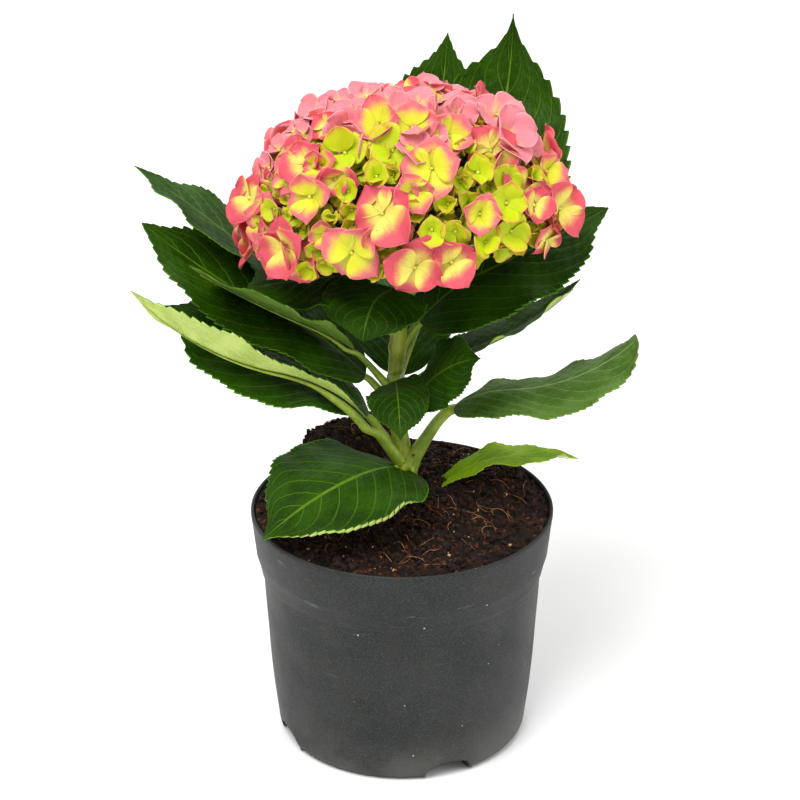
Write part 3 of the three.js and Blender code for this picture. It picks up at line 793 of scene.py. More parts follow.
@dataclass
class Pot:
    """A thin tapered nursery pot with a band below its rim and four drain arches at its foot."""

    rim_radius: float = 75.0
    height: float = 122.0
    wall: float = 1.6
    floor: float = 2.2
    band_radius: float = 72.2
    band_foot: float = 98.0
    step_radius: float = 69.4
    step_height: float = 89.0
    flare_height: float = 73.0  # where the wall is half way from its waist to its step
    waist_radius: float = 67.2
    waist_height: float = 57.0
    belly: float = 0.6  # how far the wall below the waist swells
    foot_radius: float = 56.5
    foot_round: float = 6.0
    middle: float = 0.4  # radius where the section starts and ends
    arch_azimuths: tuple[float, ...] = (-68.0, 22.0, 112.0, 202.0)
    arch_size: tuple[float, float] = (23.5, 9.2)  # width and height
    arch_inner: float = 46.0
    arch_shoulder: float = 0.35
    arch_cover: float = 1.6
    cover_foot: float = 1.2
    cover_end: float = 2.5  # how far the cover ends inside the foot's edge
    drain_size: tuple[float, float] = (8.0, 4.0)
    sunk: float = 5.0  # how far the cutting bars reach below the pot
    segments: int = 160

    def profile(self) -> np.ndarray:
        """The wall's section from the middle of the underside, up the outside and down the inside.

        The foot is a quarter round. Above it the wall is straight, plus belly sin(pi share).

        Returns:
            (n, 2) radii and heights.
        """
        bend, side = self.foot_round, self.foot_radius + self.foot_round
        corner = np.radians(np.linspace(0, 84, 8))
        share = np.linspace(0.04, 1, 10)
        foot = np.stack([self.foot_radius + bend * np.sin(corner), bend * (1 - np.cos(corner))], axis=-1)
        swell = self.belly * np.sin(math.pi * share)
        wall = np.stack([
            side + (self.waist_radius - side) * share + swell, bend + (self.waist_height - bend) * share,
        ], axis=-1)
        rim, step, band, top = self.rim_radius, self.step_radius, self.band_radius, self.height
        mouldings = [
            [self.waist_radius + (step - self.waist_radius) * 0.5, self.flare_height],
            [step - 0.25, self.step_height - 1.2],
            [step + 0.15, self.step_height],
            [step + 0.9, self.step_height + 1.1],
            [step + 1.1, self.step_height + 2.2],
            [band - 0.35, self.band_foot - 0.8],
            [band, self.band_foot],
            [band + 0.45, self.band_foot + 1.6],
            [rim - 0.9, top - 9],
            [rim - 0.15, top - 3.4],
            [rim, top - 2.2],
            [rim, top - 0.7],
            [rim - 0.35, top - 0.12],
            [rim - 0.9, top],
        ]
        inner = [
            [rim - self.wall, top - 0.5],
            [rim - self.wall - 0.3, top - 4],
            [band - self.wall, self.band_foot],
            [step - self.wall, self.step_height],
            [self.waist_radius - self.wall, self.waist_height],
            [side - self.wall, self.floor + bend],
            [side - self.wall - 4, self.floor],
            [self.middle, self.floor],
        ]
        underside = [[self.middle, 0.0], [20.0, 0.0], [40.0, 0.0]]
        return np.concatenate([underside, foot, wall, mouldings, inner])

    def arch(
        self, azimuth: float, size: tuple[float, float], low: float, ends: tuple[float, float],
    ) -> bpy.types.Object:
        """An arch-shaped bar along a radius, for adding or cutting: straight shoulders and a round top.

        Args:
            azimuth: Its direction in degrees.
            size: Its width, and the height of its round top.
            low: The height of its flat foot.
            ends: The radii of its inner and outer end.

        Returns:
            A plain object, which the caller removes.
        """
        width, height = size
        angle = np.linspace(0, math.pi, 13)
        shoulder = self.arch_shoulder * height
        top = np.stack([width / 2 * np.cos(angle), shoulder + (height - shoulder) * np.sin(angle)], axis=-1)
        outline = np.concatenate([top, [[-width / 2, low], [width / 2, low]]])
        count = len(outline)
        turn = math.radians(azimuth)
        out = np.array([math.cos(turn), math.sin(turn), 0])
        side = np.array([-math.sin(turn), math.cos(turn), 0])
        flat = outline[:, :1] * side + outline[:, 1:] * np.array([0, 0, 1])
        points = np.concatenate([flat + out * ends[0], flat + out * ends[1]]) * MM
        ring = np.arange(count)
        following = np.roll(ring, -1)
        sides = np.stack([ring, following, following + count, ring + count], axis=-1)
        faces = [*sides.tolist(), ring[::-1].tolist(), (ring + count).tolist()]
        mesh = bpy.data.meshes.new("arch")
        mesh.from_pydata(points.tolist(), [], faces)
        mesh.update()
        made = bpy.data.objects.new("arch", mesh)
        bpy.context.scene.collection.objects.link(made)
        return made

    def carve(self, piece: bpy.types.Object) -> None:
        """Adds a cover over each drain pocket, then cuts the pockets and their drains.

        Args:
            piece: The turned wall, whose mesh is replaced by the carved one.
        """
        cover, bars = self.arch_cover, []
        ends = (self.arch_inner - cover, self.foot_radius + self.foot_round - self.cover_end)
        grown = (self.arch_size[0] + 2 * cover, self.arch_size[1] + cover)
        holes = ((self.arch_size, self.arch_inner), (self.drain_size, self.arch_inner - 2 * cover))
        for azimuth in self.arch_azimuths:
            bars.append(("UNION", self.arch(azimuth, grown, self.cover_foot, ends)))
        for azimuth in self.arch_azimuths:
            for size, inner in holes:
                bars.append(("DIFFERENCE", self.arch(azimuth, size, -self.sunk, (inner, self.rim_radius))))
        for operation, bar in bars:
            step = piece.modifiers.new("arch", "BOOLEAN")
            step.operation, step.object, step.solver = operation, bar, "EXACT"
        graph = bpy.context.evaluated_depsgraph_get()
        carved = bpy.data.meshes.new_from_object(piece.evaluated_get(graph))
        piece.modifiers.clear()
        piece.data = carved
        for _, bar in bars:
            bpy.data.objects.remove(bar)

    def dress(self) -> None:
        """Turns the wall, carves the arches through its foot and finishes it."""
        profile = self.profile()
        angle = np.linspace(0, 2 * math.pi, self.segments, endpoint=False)
        ring = np.stack([np.cos(angle), np.sin(angle), np.zeros_like(angle)], axis=-1)
        rings = profile[:, :1, None] * ring[None] + profile[:, 1:, None] * np.array([0.0, 0.0, 1.0])
        piece = closed_rings(rings[None], 0).build("pot_wall", [PotFinish().make()])
        self.carve(piece)
        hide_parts("pot")


# Soil


@dataclass(frozen=True)
class Heap:
    """A mound of soil, with a flatter top and steeper sides the larger its steepness."""

    x: float
    y: float
    height: float
    width: float
    steepness: float = 2.0


@dataclass
class Soil:
    """The compost's surface, heaped round the stem and at the back left, with crumbs and fibres."""

    base: float = 119.8
    edge: float = 0.6
    brim: float = 72.8
    skirt: float = 16.0  # how far its hidden side reaches down
    heaps: tuple[Heap, ...] = (Heap(0, 8, 11, 34), Heap(-27, 50, 20, 25, 5), Heap(52, 30, 4, 26))
    rings: int = 110
    segments: int = 260
    crumbs: int = 1500
    fibres: int = 80
    specks: int = 90

    def height(self, x: np.ndarray, y: np.ndarray) -> np.ndarray:
        """Base level plus height * exp(-distance^steepness / 2) for each heap, falling off at the rim.

        Args:
            x: First coordinate of each point.
            y: Second coordinate of each point.

        Returns:
            The heights.
        """
        z = np.full(np.shape(x), self.base)
        inside = smooth_step(self.brim - np.hypot(x, y), -1.0, 9.0)
        for heap in self.heaps:
            far = np.hypot(x - heap.x, y - heap.y) / heap.width
            z = z + inside * heap.height * np.exp(-0.5 * far**heap.steepness)
        return z

    def crumbled(self, x: np.ndarray, y: np.ndarray) -> np.ndarray:
        """The height with clods 1.5, 1.1 and 0.7 high on it, on squares of 7.5, 3.1 and 1.4."""
        clods = 1.5 * value_noise(x, y, 7.5, 1) + 1.1 * value_noise(x, y, 3.1, 2)
        return self.height(x, y) + clods + 0.7 * np.abs(value_noise(x, y, 1.4, 3))

    def spots(self, rng: np.random.Generator, count: int, inset: float) -> np.ndarray:
        """Random places on the surface, even over its area.

        Args:
            rng: Source of the places.
            count: How many.
            inset: How far they keep from the brim.

        Returns:
            (count, 3) points.
        """
        radius = (self.brim - inset) * np.sqrt(rng.random(count))
        angle = rng.uniform(0, 2 * math.pi, count)
        x, y = radius * np.cos(angle), radius * np.sin(angle)
        return np.stack([x, y, self.crumbled(x, y)], axis=-1)

    def ground(self) -> Skin:
        """A round surface with a short skirt, closed underneath.

        Returns:
            The surface as one skin.
        """
        angle = np.linspace(0, 2 * math.pi, self.segments, endpoint=False)
        radius = np.concatenate([[self.brim, self.brim], np.linspace(self.brim - 0.4, 0.5, self.rings)])
        x, y = radius[:, None] * np.cos(angle), radius[:, None] * np.sin(angle)
        z = self.crumbled(x, y)
        z[0] = self.base - self.skirt
        z[1] = np.minimum(z[1], self.base - self.edge)
        return closed_rings(np.stack([x, y, z], axis=-1)[None], 0)

    def fibre_skin(self, rng: np.random.Generator) -> Skin:
        """Curved fibres that lie on the surface: each is an arc whose heading turns evenly.

        Args:
            rng: Source of the fibres.

        Returns:
            All the fibres as one skin.
        """
        steps = 9
        start = self.spots(rng, self.fibres, 8)
        length = rng.uniform(5, 17, self.fibres)
        heading = rng.uniform(0, 2 * math.pi, self.fibres)[:, None]
        turn = rng.normal(0, 1.3, self.fibres)[:, None]
        share = np.linspace(0, 1, steps)[None]
        way = heading + turn * share
        stride = length[:, None] / (steps - 1)
        x = start[:, :1] + np.cumsum(np.cos(way) * stride, axis=1)
        y = start[:, 1:2] + np.cumsum(np.sin(way) * stride, axis=1)
        shrink = np.minimum(1, (self.brim - 1.5) / np.hypot(x, y))
        x, y = x * shrink, y * shrink
        arch = rng.uniform(0.2, 2.6, self.fibres)[:, None] * np.sin(math.pi * share)
        z = self.crumbled(x, y) * 0.35 + self.height(x, y) * 0.65 + 0.9 + arch
        radii = np.tile(rng.uniform(0.09, 0.2, self.fibres)[:, None], (1, steps))
        radii[:, [0, -1]] *= 0.4
        return closed_rings(tube_rings(np.stack([x, y, z], axis=-1), radii, 4), 0)

    def dress(self) -> None:
        """Builds the surface, its crumbs in three shades, its fibres and its pale specks."""
        rng = np.random.default_rng(11)
        surface = self.ground().build("soil_surface", [SoilFinish().make()])
        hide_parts("soil")
        dark = PlainPlantFinish("crumb_dark", linear(44, 22, 15), linear(15, 7, 5), 0.9)
        red = PlainPlantFinish("crumb_red", linear(92, 44, 24), linear(34, 16, 10), 0.9)
        tan = PlainPlantFinish("crumb_tan", linear(205, 176, 128), linear(150, 108, 66), 0.7)
        kinds = (
            ("crumbs_dark", self.crumbs, 1.9, dark),
            ("crumbs_red", self.crumbs // 2, 1.1, red),
            ("crumbs_tan", self.specks, 0.8, tan),
        )
        for seed, (name, count, size, finish) in enumerate(kinds):
            spots = self.spots(rng, count, 1.5) + [0, 0, 0.25]
            sizes = size * rng.uniform(0.35, 1.25, (count, 1)) * rng.uniform(0.5, 1.2, (count, 3))
            lumps(spots, sizes, 20 + seed, 0.34).build(name, [finish.make()], smooth=False)
        straw = PlainPlantFinish("fibre", linear(178, 128, 78), linear(104, 62, 34), 0.6)
        self.fibre_skin(rng).build("soil_fibres", [straw.make()])


# Stem


@dataclass
class Stem:
    """A slightly bent green stem, swollen at its foot and at its leaf nodes."""

    path: tuple[tuple[float, ...], ...] = (  # x, y, height and radius
        (3, 1, 114, 5.2),
        (3, 1, 126, 5.2),
        (2, 0, 143, 5.4),
        (-1, 0, 160, 4.0),
        (-4, 0, 184, 3.9),
        (-3, 0, 198, 3.6),
        (-2, 0, 212, 4.2),
        (0, 0.5, 228, 3.2),
        (2, 1, 245, 3.1),
        (2.4, 1.2, 250, 3.4),
    )
    nodes: tuple[float, ...] = (143.0, 180.0, 208.0, 240.0)
    swelling: float = 0.55
    swelling_spread: float = 1.5
    smoothing: float = 4.5
    sides: int = 32
    steps: int = 150

    def point(self, z: float) -> np.ndarray:
        """The centre line at a height."""
        line = np.array(self.path)
        return np.array([np.interp(z, line[:, 2], line[:, k]) for k in range(3)])

    def dress(self) -> None:
        """A faintly ribbed tube along the smoothed path.

        Each node adds swelling * exp(-distance^2 / (2 spread^2)) to its radius.
        """
        line = np.array(self.path)
        z = np.linspace(line[0, 2], line[-1, 2], self.steps)
        spread = self.smoothing * np.linspace(-2, 2, 13)
        weight = np.exp(-0.5 * (spread / self.smoothing) ** 2)
        weight /= weight.sum()
        around = np.clip(z[:, None] + spread[None], line[0, 2], line[-1, 2])
        x, y, radius = (np.interp(around, line[:, 2], line[:, k]) @ weight for k in (0, 1, 3))
        for node in self.nodes:
            radius = radius + self.swelling * np.exp(-0.5 * ((z - node) / self.swelling_spread) ** 2)
        path = np.stack([x, y, z], axis=-1)[None]
        rings = tube_rings(path, radius[None], self.sides)
        angle = np.linspace(0, 2 * math.pi, self.sides, endpoint=False)
        turn, level = np.meshgrid(angle, z)
        ribs = 1 + 0.03 * np.sin(6 * turn + 0.03 * level) + 0.02 * value_noise(turn * 3, level / 4, 1.0, 5)
        rings = path[:, :, None, :] + (rings - path[:, :, None, :]) * ribs[None, :, :, None]
        finish = StalkFinish("stem_green", linear(164, 172, 58), linear(112, 130, 34))
        piece = closed_rings(rings, 0).build("stem", [finish.make()])
        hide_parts("main_stem")
        self.buds()

    def buds(self) -> None:
        """Three plump buds in the lowest leaf fork and the brown scar of a shed leaf beside them."""
        green = PlainPlantFinish("bud_green", linear(176, 190, 62), linear(120, 142, 36), 0.45, 260.0)
        brown = PlainPlantFinish("scar_brown", linear(128, 70, 34), linear(66, 34, 18), 0.85, 500.0)
        spots = np.array([[2.0, -7.0, 146.5], [4.8, -6.4, 144.6], [-2.2, -6.6, 145.2]])
        sizes = np.array([[2.1, 1.9, 4.2], [1.5, 1.4, 3.2], [1.3, 1.2, 2.8]])
        buds = lumps(spots, sizes, 31, 0.06).build("leaf_bud", [green.make()])
        spots = np.array([[6.5, -3.5, 152.5], [8.6, -2.5, 150.4]])
        sizes = np.array([[2.6, 1.8, 1.4], [1.8, 1.5, 1.2]])
        scar = lumps(spots, sizes, 32).build("leaf_scar", [brown.make()], smooth=False)


# Leaves


@dataclass(frozen=True)
class Side:
    """One half of a blade: its angle at the midrib and how much that grows towards the margin."""

    fold: float
    curl: float


@dataclass
class Leaf:
    """A leaf on a stalk that rises at a steady angle, then lays over and lifts or droops at its tip.

    Angles are in degrees and lengths in millimetres. Left and right are seen from the stem.
    """

    name: str
    azimuth: float
    turn: float
    height: float
    rise: float
    lay: float
    tip: float
    stalk: float
    blade: float
    half: float
    left: Side
    right: Side
    roll: float = 0.0
    twist: float = 0.0
    out: float = 0.0
    tone: Tone = Tone.MID
    stalk_radius: float = 2.3
    wave: float = 1.2
    creep: float = 0.0  # how far the blade runs down its stalk
    taper: float = 0.55  # the smaller, the broader the blade's foot
    point: float = 1.1  # the smaller, the blunter its tip
    lip: float = 0.0  # how steeply the left margin's last millimetres turn up
    rows: int = 176
    columns: int = 23
    teeth: int = 30
    veins: VeinRule = field(default_factory=VeinRule)

    def frames(self, distance: np.ndarray, stem: Stem) -> tuple[np.ndarray, ...]:
        """The centre line and the directions along, to the left and up at distances from the stem.

        The azimuth changes evenly along the leaf. The slope runs straight between its first
        angle, which holds for 0.6 of the stalk, its angle at 0.3 of the blade and its tip's.

        Args:
            distance: Distances along the leaf.
            stem: The stem that it grows on.

        Returns:
            Points, directions along, directions to the left and directions up.
        """
        length = self.stalk + self.blade
        knots = [0, 0.6 * self.stalk, self.stalk + 0.3 * self.blade, length]
        slopes = [self.rise, self.rise, self.lay, self.tip]

        def heading(at: np.ndarray) -> np.ndarray:
            """The directions along the leaf at some distances.

            Args:
                at: The distances from the stem.

            Returns:
                One direction for each.
            """
            azimuth = np.radians(self.azimuth + self.turn * at / length)
            slope = np.radians(np.interp(at, knots, slopes))
            flat = np.cos(slope)
            return np.stack([flat * np.cos(azimuth), flat * np.sin(azimuth), np.sin(slope)], axis=-1)

        fine = np.linspace(0, length, 241)
        away = math.radians(self.azimuth)
        start = stem.point(self.height) + self.out * np.array([math.cos(away), math.sin(away), 0])
        strides = heading((fine[1:] + fine[:-1]) / 2) * (fine[1] - fine[0])
        line = start + np.concatenate([np.zeros((1, 3)), np.cumsum(strides, axis=0)])
        centre = np.stack([np.interp(distance, fine, line[:, k]) for k in range(3)], axis=-1)
        along = heading(distance)
        azimuth = np.radians(self.azimuth + self.turn * distance / length)
        level = np.stack([-np.sin(azimuth), np.cos(azimuth), 0 * azimuth], axis=-1)
        above = np.cross(along, level)
        share = np.maximum(0, (distance - self.stalk) / self.blade)
        roll = np.radians(self.roll + self.twist * share)[:, None]
        side = level * np.cos(roll) + above * np.sin(roll)
        return centre, along, side, np.cross(along, side)

    def outline(self, t: np.ndarray) -> np.ndarray:
        """Half width: t^taper (1 - t)^point (1 + 0.9 t^2) over its peak, drawn out to a fine tip.

        Args:
            t: Shares of the length of the blade.

        Returns:
            The half width at each.
        """

        def raw(at: np.ndarray) -> np.ndarray:
            """The outline before it is scaled to the half width."""
            return at**self.taper * (1 - at) ** self.point * (1 + 0.9 * at * at)

        drawn = 1 - 0.42 * smooth_step(t, 0.78, 0.95) * min(1.0, self.point)
        return np.maximum(0.35, self.half * raw(t) / raw(np.linspace(0, 1, 401)).max() * drawn)

    def surface(self, stem: Stem) -> tuple[np.ndarray, np.ndarray]:
        """The blade's middle surface and its normals.

        A point lies half * (sin(f + c v) - sin f) / c sideways and half * (cos f - cos(f + c v)) / c
        up from the midrib, with f the side's fold, c its curl and v the share of the half width.
        On top of that come a turned-up lip, teeth at the margin, a slow wave, and relief between
        the veins.

        Args:
            stem: The stem that the leaf grows on.

        Returns:
            (rows, columns, 3) points and normals.
        """
        rng = np.random.default_rng(sum(ord(letter) for letter in self.name))
        t = np.linspace(0, 1, self.rows)
        u = np.linspace(-1, 1, self.columns)
        u = np.sign(u) * (1 - (1 - np.abs(u)) ** 1.25)
        foot = self.stalk - self.creep
        centre, along, side, up = self.frames(foot + (self.blade + self.creep) * t, stem)
        width = self.outline(t)[:, None]
        v = np.abs(u)[None]
        sign = np.where(u < 0, -1.0, 1.0)[None]
        fold = np.radians(np.where(u < 0, self.right.fold, self.left.fold))[None]
        curl = np.radians(np.where(u < 0, self.right.curl, self.left.curl))[None]
        curl = np.where(np.abs(curl) < 1e-4, 1e-4, curl)
        reach = (np.sin(fold + curl * v) - np.sin(fold)) / curl
        lift = (np.cos(fold) - np.cos(fold + curl * v)) / curl
        lean = np.where(v > 0.001, fold + curl * v, 0.0) * np.ones_like(width)
        across = side[:, None] * (sign * np.cos(lean))[..., None] + up[:, None] * np.sin(lean)[..., None]
        normal = up[:, None] * np.cos(lean)[..., None] - side[:, None] * (sign * np.sin(lean))[..., None]
        flat = side[:, None] * (sign * width * reach)[..., None] + up[:, None] * (width * lift)[..., None]
        points = centre[:, None] + flat
        lip = np.radians(self.lip) * (u > 0)[None]
        past = np.maximum(0, v - 0.94) * width * smooth_step(t, 0.25, 0.4)[:, None]
        points = points + normal * (past * np.sin(lip))[..., None]
        points = points - across * (past * (1 - np.cos(lip)))[..., None]
        room = np.minimum(1, width / (0.45 * self.half)) * smooth_step(t, 0.02, 0.1)[:, None]
        phase = self.teeth * (t[:, None] ** 0.92) + 0.23 * sign
        bite = (phase % 1.0) ** 0.8 * (1 - smooth_step(phase % 1.0, 0.82, 1.0))
        margin = smooth_step(v, 0.86, 1.0) * room
        size = self.blade / 100
        points = points + across * (1.9 * size * margin * (bite - 0.35))[..., None]
        points = points + along[:, None] * (1.3 * size * margin * bite)[..., None]
        rule = self.veins
        between = rule.pairs * (t[:, None] + v * (rule.forward + rule.arch * v))
        valley = np.abs(np.cos(math.pi * between)) ** 6
        groove = np.exp(-((v * width / 1.1) ** 2))
        bulge = 1.15 * size * (1 - valley) * smooth_step(v, 0.02, 0.25) * (1 - 0.7 * v) - 0.5 * groove
        drift = rng.uniform(0, 2 * math.pi, 2)
        wave = np.sin(2 * math.pi * (2.6 * t[:, None] + 0.15 * sign) + drift[0] * sign)
        wave = wave + 0.6 * np.sin(2 * math.pi * 4.7 * t[:, None] + drift[1] * sign)
        height = bulge * room + self.wave * v**2 * wave * room
        return points + normal * height[..., None], normal

    def stalk_rings(self, stem: Stem) -> np.ndarray:
        """Sections of the stalk and of the rib under the blade, wider than high and widest at the stem.

        Args:
            stem: The stem that the leaf grows on.

        Returns:
            (1, sections, 12, 3) points.
        """
        reach = self.stalk + 0.93 * self.blade
        distance = np.concatenate([np.linspace(0, self.stalk, 26), np.linspace(self.stalk, reach, 40)[1:]])
        centre, _, side, up = self.frames(distance, stem)
        share = np.clip((distance - self.stalk) / self.blade, 0, 1)
        radius = self.stalk_radius * (1 - 0.3 * np.clip(distance / self.stalk, 0, 1)) * (1 - share) ** 1.4
        radius = radius * (1 - 0.35 * smooth_step(share, 0.0, 0.15))
        radius = np.maximum(0.25, radius * (1 + 0.7 * np.exp(-distance / 7)))
        foot = self.stalk - self.creep
        sunk = (radius * 1.05 + 0.75) * smooth_step(distance, foot - 4, foot + 6)
        centre = centre - up * sunk[:, None]
        angle = np.linspace(0, 2 * math.pi, 12, endpoint=False)
        channel = 1 - 0.25 * np.exp(-(((angle - math.pi / 2) / 0.5) ** 2))
        across = side[:, None] * (-1.12 * np.cos(angle) * channel)[None, :, None]
        above = up[:, None] * (0.9 * np.sin(angle) * channel)[None, :, None]
        return (centre[:, None] + radius[:, None, None] * (across + above))[None]

    def dress(self, stem: Stem, wardrobe: dict[Tone, list[bpy.types.Material]]) -> None:
        """Builds blade and stalk as one piece that stands for the leaf's solid.

        Args:
            stem: The stem that it grows on.
            wardrobe: The upper, lower and stalk finishes of each tone.
        """
        middle, normal = self.surface(stem)
        half = normal * BLADE_HALF_THICKNESS
        blade = shells((middle + half)[None], (middle - half)[None], (0, 1), (0.01, 0.42, 0.45, 0.86))
        stalk = closed_rings(self.stalk_rings(stem), 2, (0.89, 0.99))
        piece = Skin.joined([blade, stalk]).build(self.name.replace("leaf_", "blade_"), wardrobe[self.tone])
        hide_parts(self.name)


def leaf_list() -> list[Leaf]:
    """Every leaf of the plant, from the top left round to the hidden ones at the back.

    Returns:
        The leaves.
    """
    return [
        Leaf("leaf_upper_left", 160, -3, 216, 16, 34, 26, 52, 103, 31, Side(15, 10), Side(-14, 5)),
        Leaf(
            "leaf_upper_right", 18, 0, 206, 52, 19, 24, 26, 101, 38, Side(10, 10), Side(-8, -5),
            creep=8, taper=0.4, point=0.95,
        ),
        Leaf(
            "leaf_middle_left_back", 182, -13, 176, 50, 28, 38, 35, 120, 36, Side(-4, -5), Side(6, 10),
            tone=Tone.IN_SHADE, creep=12, taper=0.48, point=0.9,
        ),
        Leaf(
            "leaf_middle_left_front", 206, -16, 184, 53, 29, 36, 34, 96, 26, Side(12, 6), Side(-8, 0),
            roll=8, tone=Tone.IN_SHADE, taper=0.9,
        ),
        Leaf("leaf_middle_right", 9, -2, 182, 36, 19, 48, 25, 83, 28, Side(2, 0), Side(8, 10), roll=-10),
        Leaf(
            "leaf_lower_left_folded", 217, -42, 142, 56, 18, 48, 62, 118, 22, Side(12, 8), Side(5, 10),
            roll=12, twist=30, stalk_radius=3.2, creep=30, taper=1.9,
        ),
        Leaf(
            "leaf_lower_left_wide", 178, -2, 147, 55, 24, 24, 42, 104, 38, Side(-24, 0), Side(20, -5),
            roll=18, twist=-18, creep=12, taper=0.8,
        ),
        Leaf(
            "leaf_lower_right", -8, 12, 143, 60, 2, 45, 42, 98, 32, Side(-16, 0), Side(-5, 0),
            tone=Tone.SHEEN, stalk_radius=4.2, taper=0.35, point=0.5,
        ),
        Leaf(
            "leaf_over_rim", 228, -24, 143, 26, -1, -39, 4, 88, 43, Side(-14, 23), Side(3, -1),
            roll=1, stalk_radius=3.0, lip=75,
        ),
        Leaf(
            "leaf_small_right", 18, -5, 127, 38, 8, -20, 10, 70, 15, Side(3, 0), Side(2, 0),
            twist=-15, out=13, tone=Tone.BRIGHT, teeth=22, stalk_radius=1.8, creep=17, taper=1.5,
        ),
        Leaf(
            "leaf_front_top", 243, 7, 242, 10, 9, -74, 14, 43, 25, Side(0, 0), Side(0, 0),
            roll=-6, tone=Tone.IN_SHADE, taper=0.42, point=0.85,
        ),
        Leaf(
            "leaf_under_head", 194, 0, 246, 8, 0, -4, 16, 62, 24, Side(-12, 0), Side(0, 0), tone=Tone.IN_SHADE,
            taper=0.35, point=0.7,
        ),
        Leaf("leaf_back_left", 83, -13, 200, 34, 39, 80, 57, 124, 33, Side(5, 0), Side(5, 0)),
        Leaf(
            "leaf_back_tall", 55, 15, 233, 22, 29, 91, 27, 143, 47, Side(12, 5), Side(5, 0), tone=Tone.IN_SHADE,
            teeth=19, point=1.45,
        ),
        Leaf(
            "leaf_inner_right", -52, 4, 168, 55, 46, 22, 22, 61, 17, Side(-10, 0), Side(-10, 0),
            roll=58, twist=13, tone=Tone.IN_SHADE,
        ),
        Leaf(
            "leaf_inner_front", 271, 5, 193, 14, -1, -67, 12, 42, 15, Side(0, 0), Side(0, 0),
            roll=22, twist=-37, tone=Tone.IN_SHADE,
        ),
        Leaf("leaf_back_middle", 62, 6, 190, 40, 22, 5, 40, 96, 28, Side(5, 10), Side(5, 10)),
        Leaf("leaf_back_low", 90, 0, 156, 45, 20, 8, 36, 90, 27, Side(5, 10), Side(5, 10)),
    ]


@dataclass
class Foliage:
    """All the leaves and the finishes that they are dealt."""

    leaves: list[Leaf] = field(default_factory=leaf_list)

    def wardrobe(self) -> dict[Tone, list[bpy.types.Material]]:
        """Makes the upper side, underside and stalk finishes for each tone.

        Returns:
            The finishes by tone, in that order.
        """
        shades = {  # dark, light, vein and margin
            # painted shade: the darker copy for leaves in the shade under the head
            Tone.IN_SHADE: ((20, 46, 1), (38, 74, 2), (96, 132, 26), (82, 130, 16)),
            Tone.MID: ((20, 48, 1), (40, 78, 2), (98, 134, 28), (98, 152, 20)),
            Tone.BRIGHT: ((98, 140, 4), (146, 180, 14), (196, 212, 70), (182, 208, 50)),
            # painted sheen: greyer, paler greens for light glancing off the lower right leaf
            Tone.SHEEN: ((50, 84, 24), (88, 122, 48), (150, 170, 100), (126, 160, 70)),
        }
        below = {
            "pale": ((154, 180, 72), (188, 206, 106), (210, 222, 138), (212, 224, 142)),
            # painted shade: a darker copy of the underside, for the leaves in shade and the sheen leaf
            "shadowed": ((70, 104, 28), (98, 134, 44), (136, 164, 72), (140, 172, 74)),
        }
        pale, shadowed = (
            UndersideFinish(f"underside_{name}", *(linear(*shade) for shade in parts)).make()
            for name, parts in below.items()
        )
        stalk = StalkFinish("leaf_stalk", linear(158, 176, 62), linear(110, 138, 38), pores=0.3).make()
        made = {}
        for tone, parts in shades.items():
            upper = LeafFinish(f"leaf_{tone.value}", *(linear(*shade) for shade in parts)).make()
            made[tone] = [upper, shadowed if tone in (Tone.IN_SHADE, Tone.SHEEN) else pale, stalk]
        return made

    def dress(self, stem: Stem) -> None:
        """Dresses every leaf.

        Args:
            stem: The stem that they grow on.
        """
        wardrobe = self.wardrobe()
        for leaf in self.leaves:
            leaf.dress(stem, wardrobe)


# Flower head


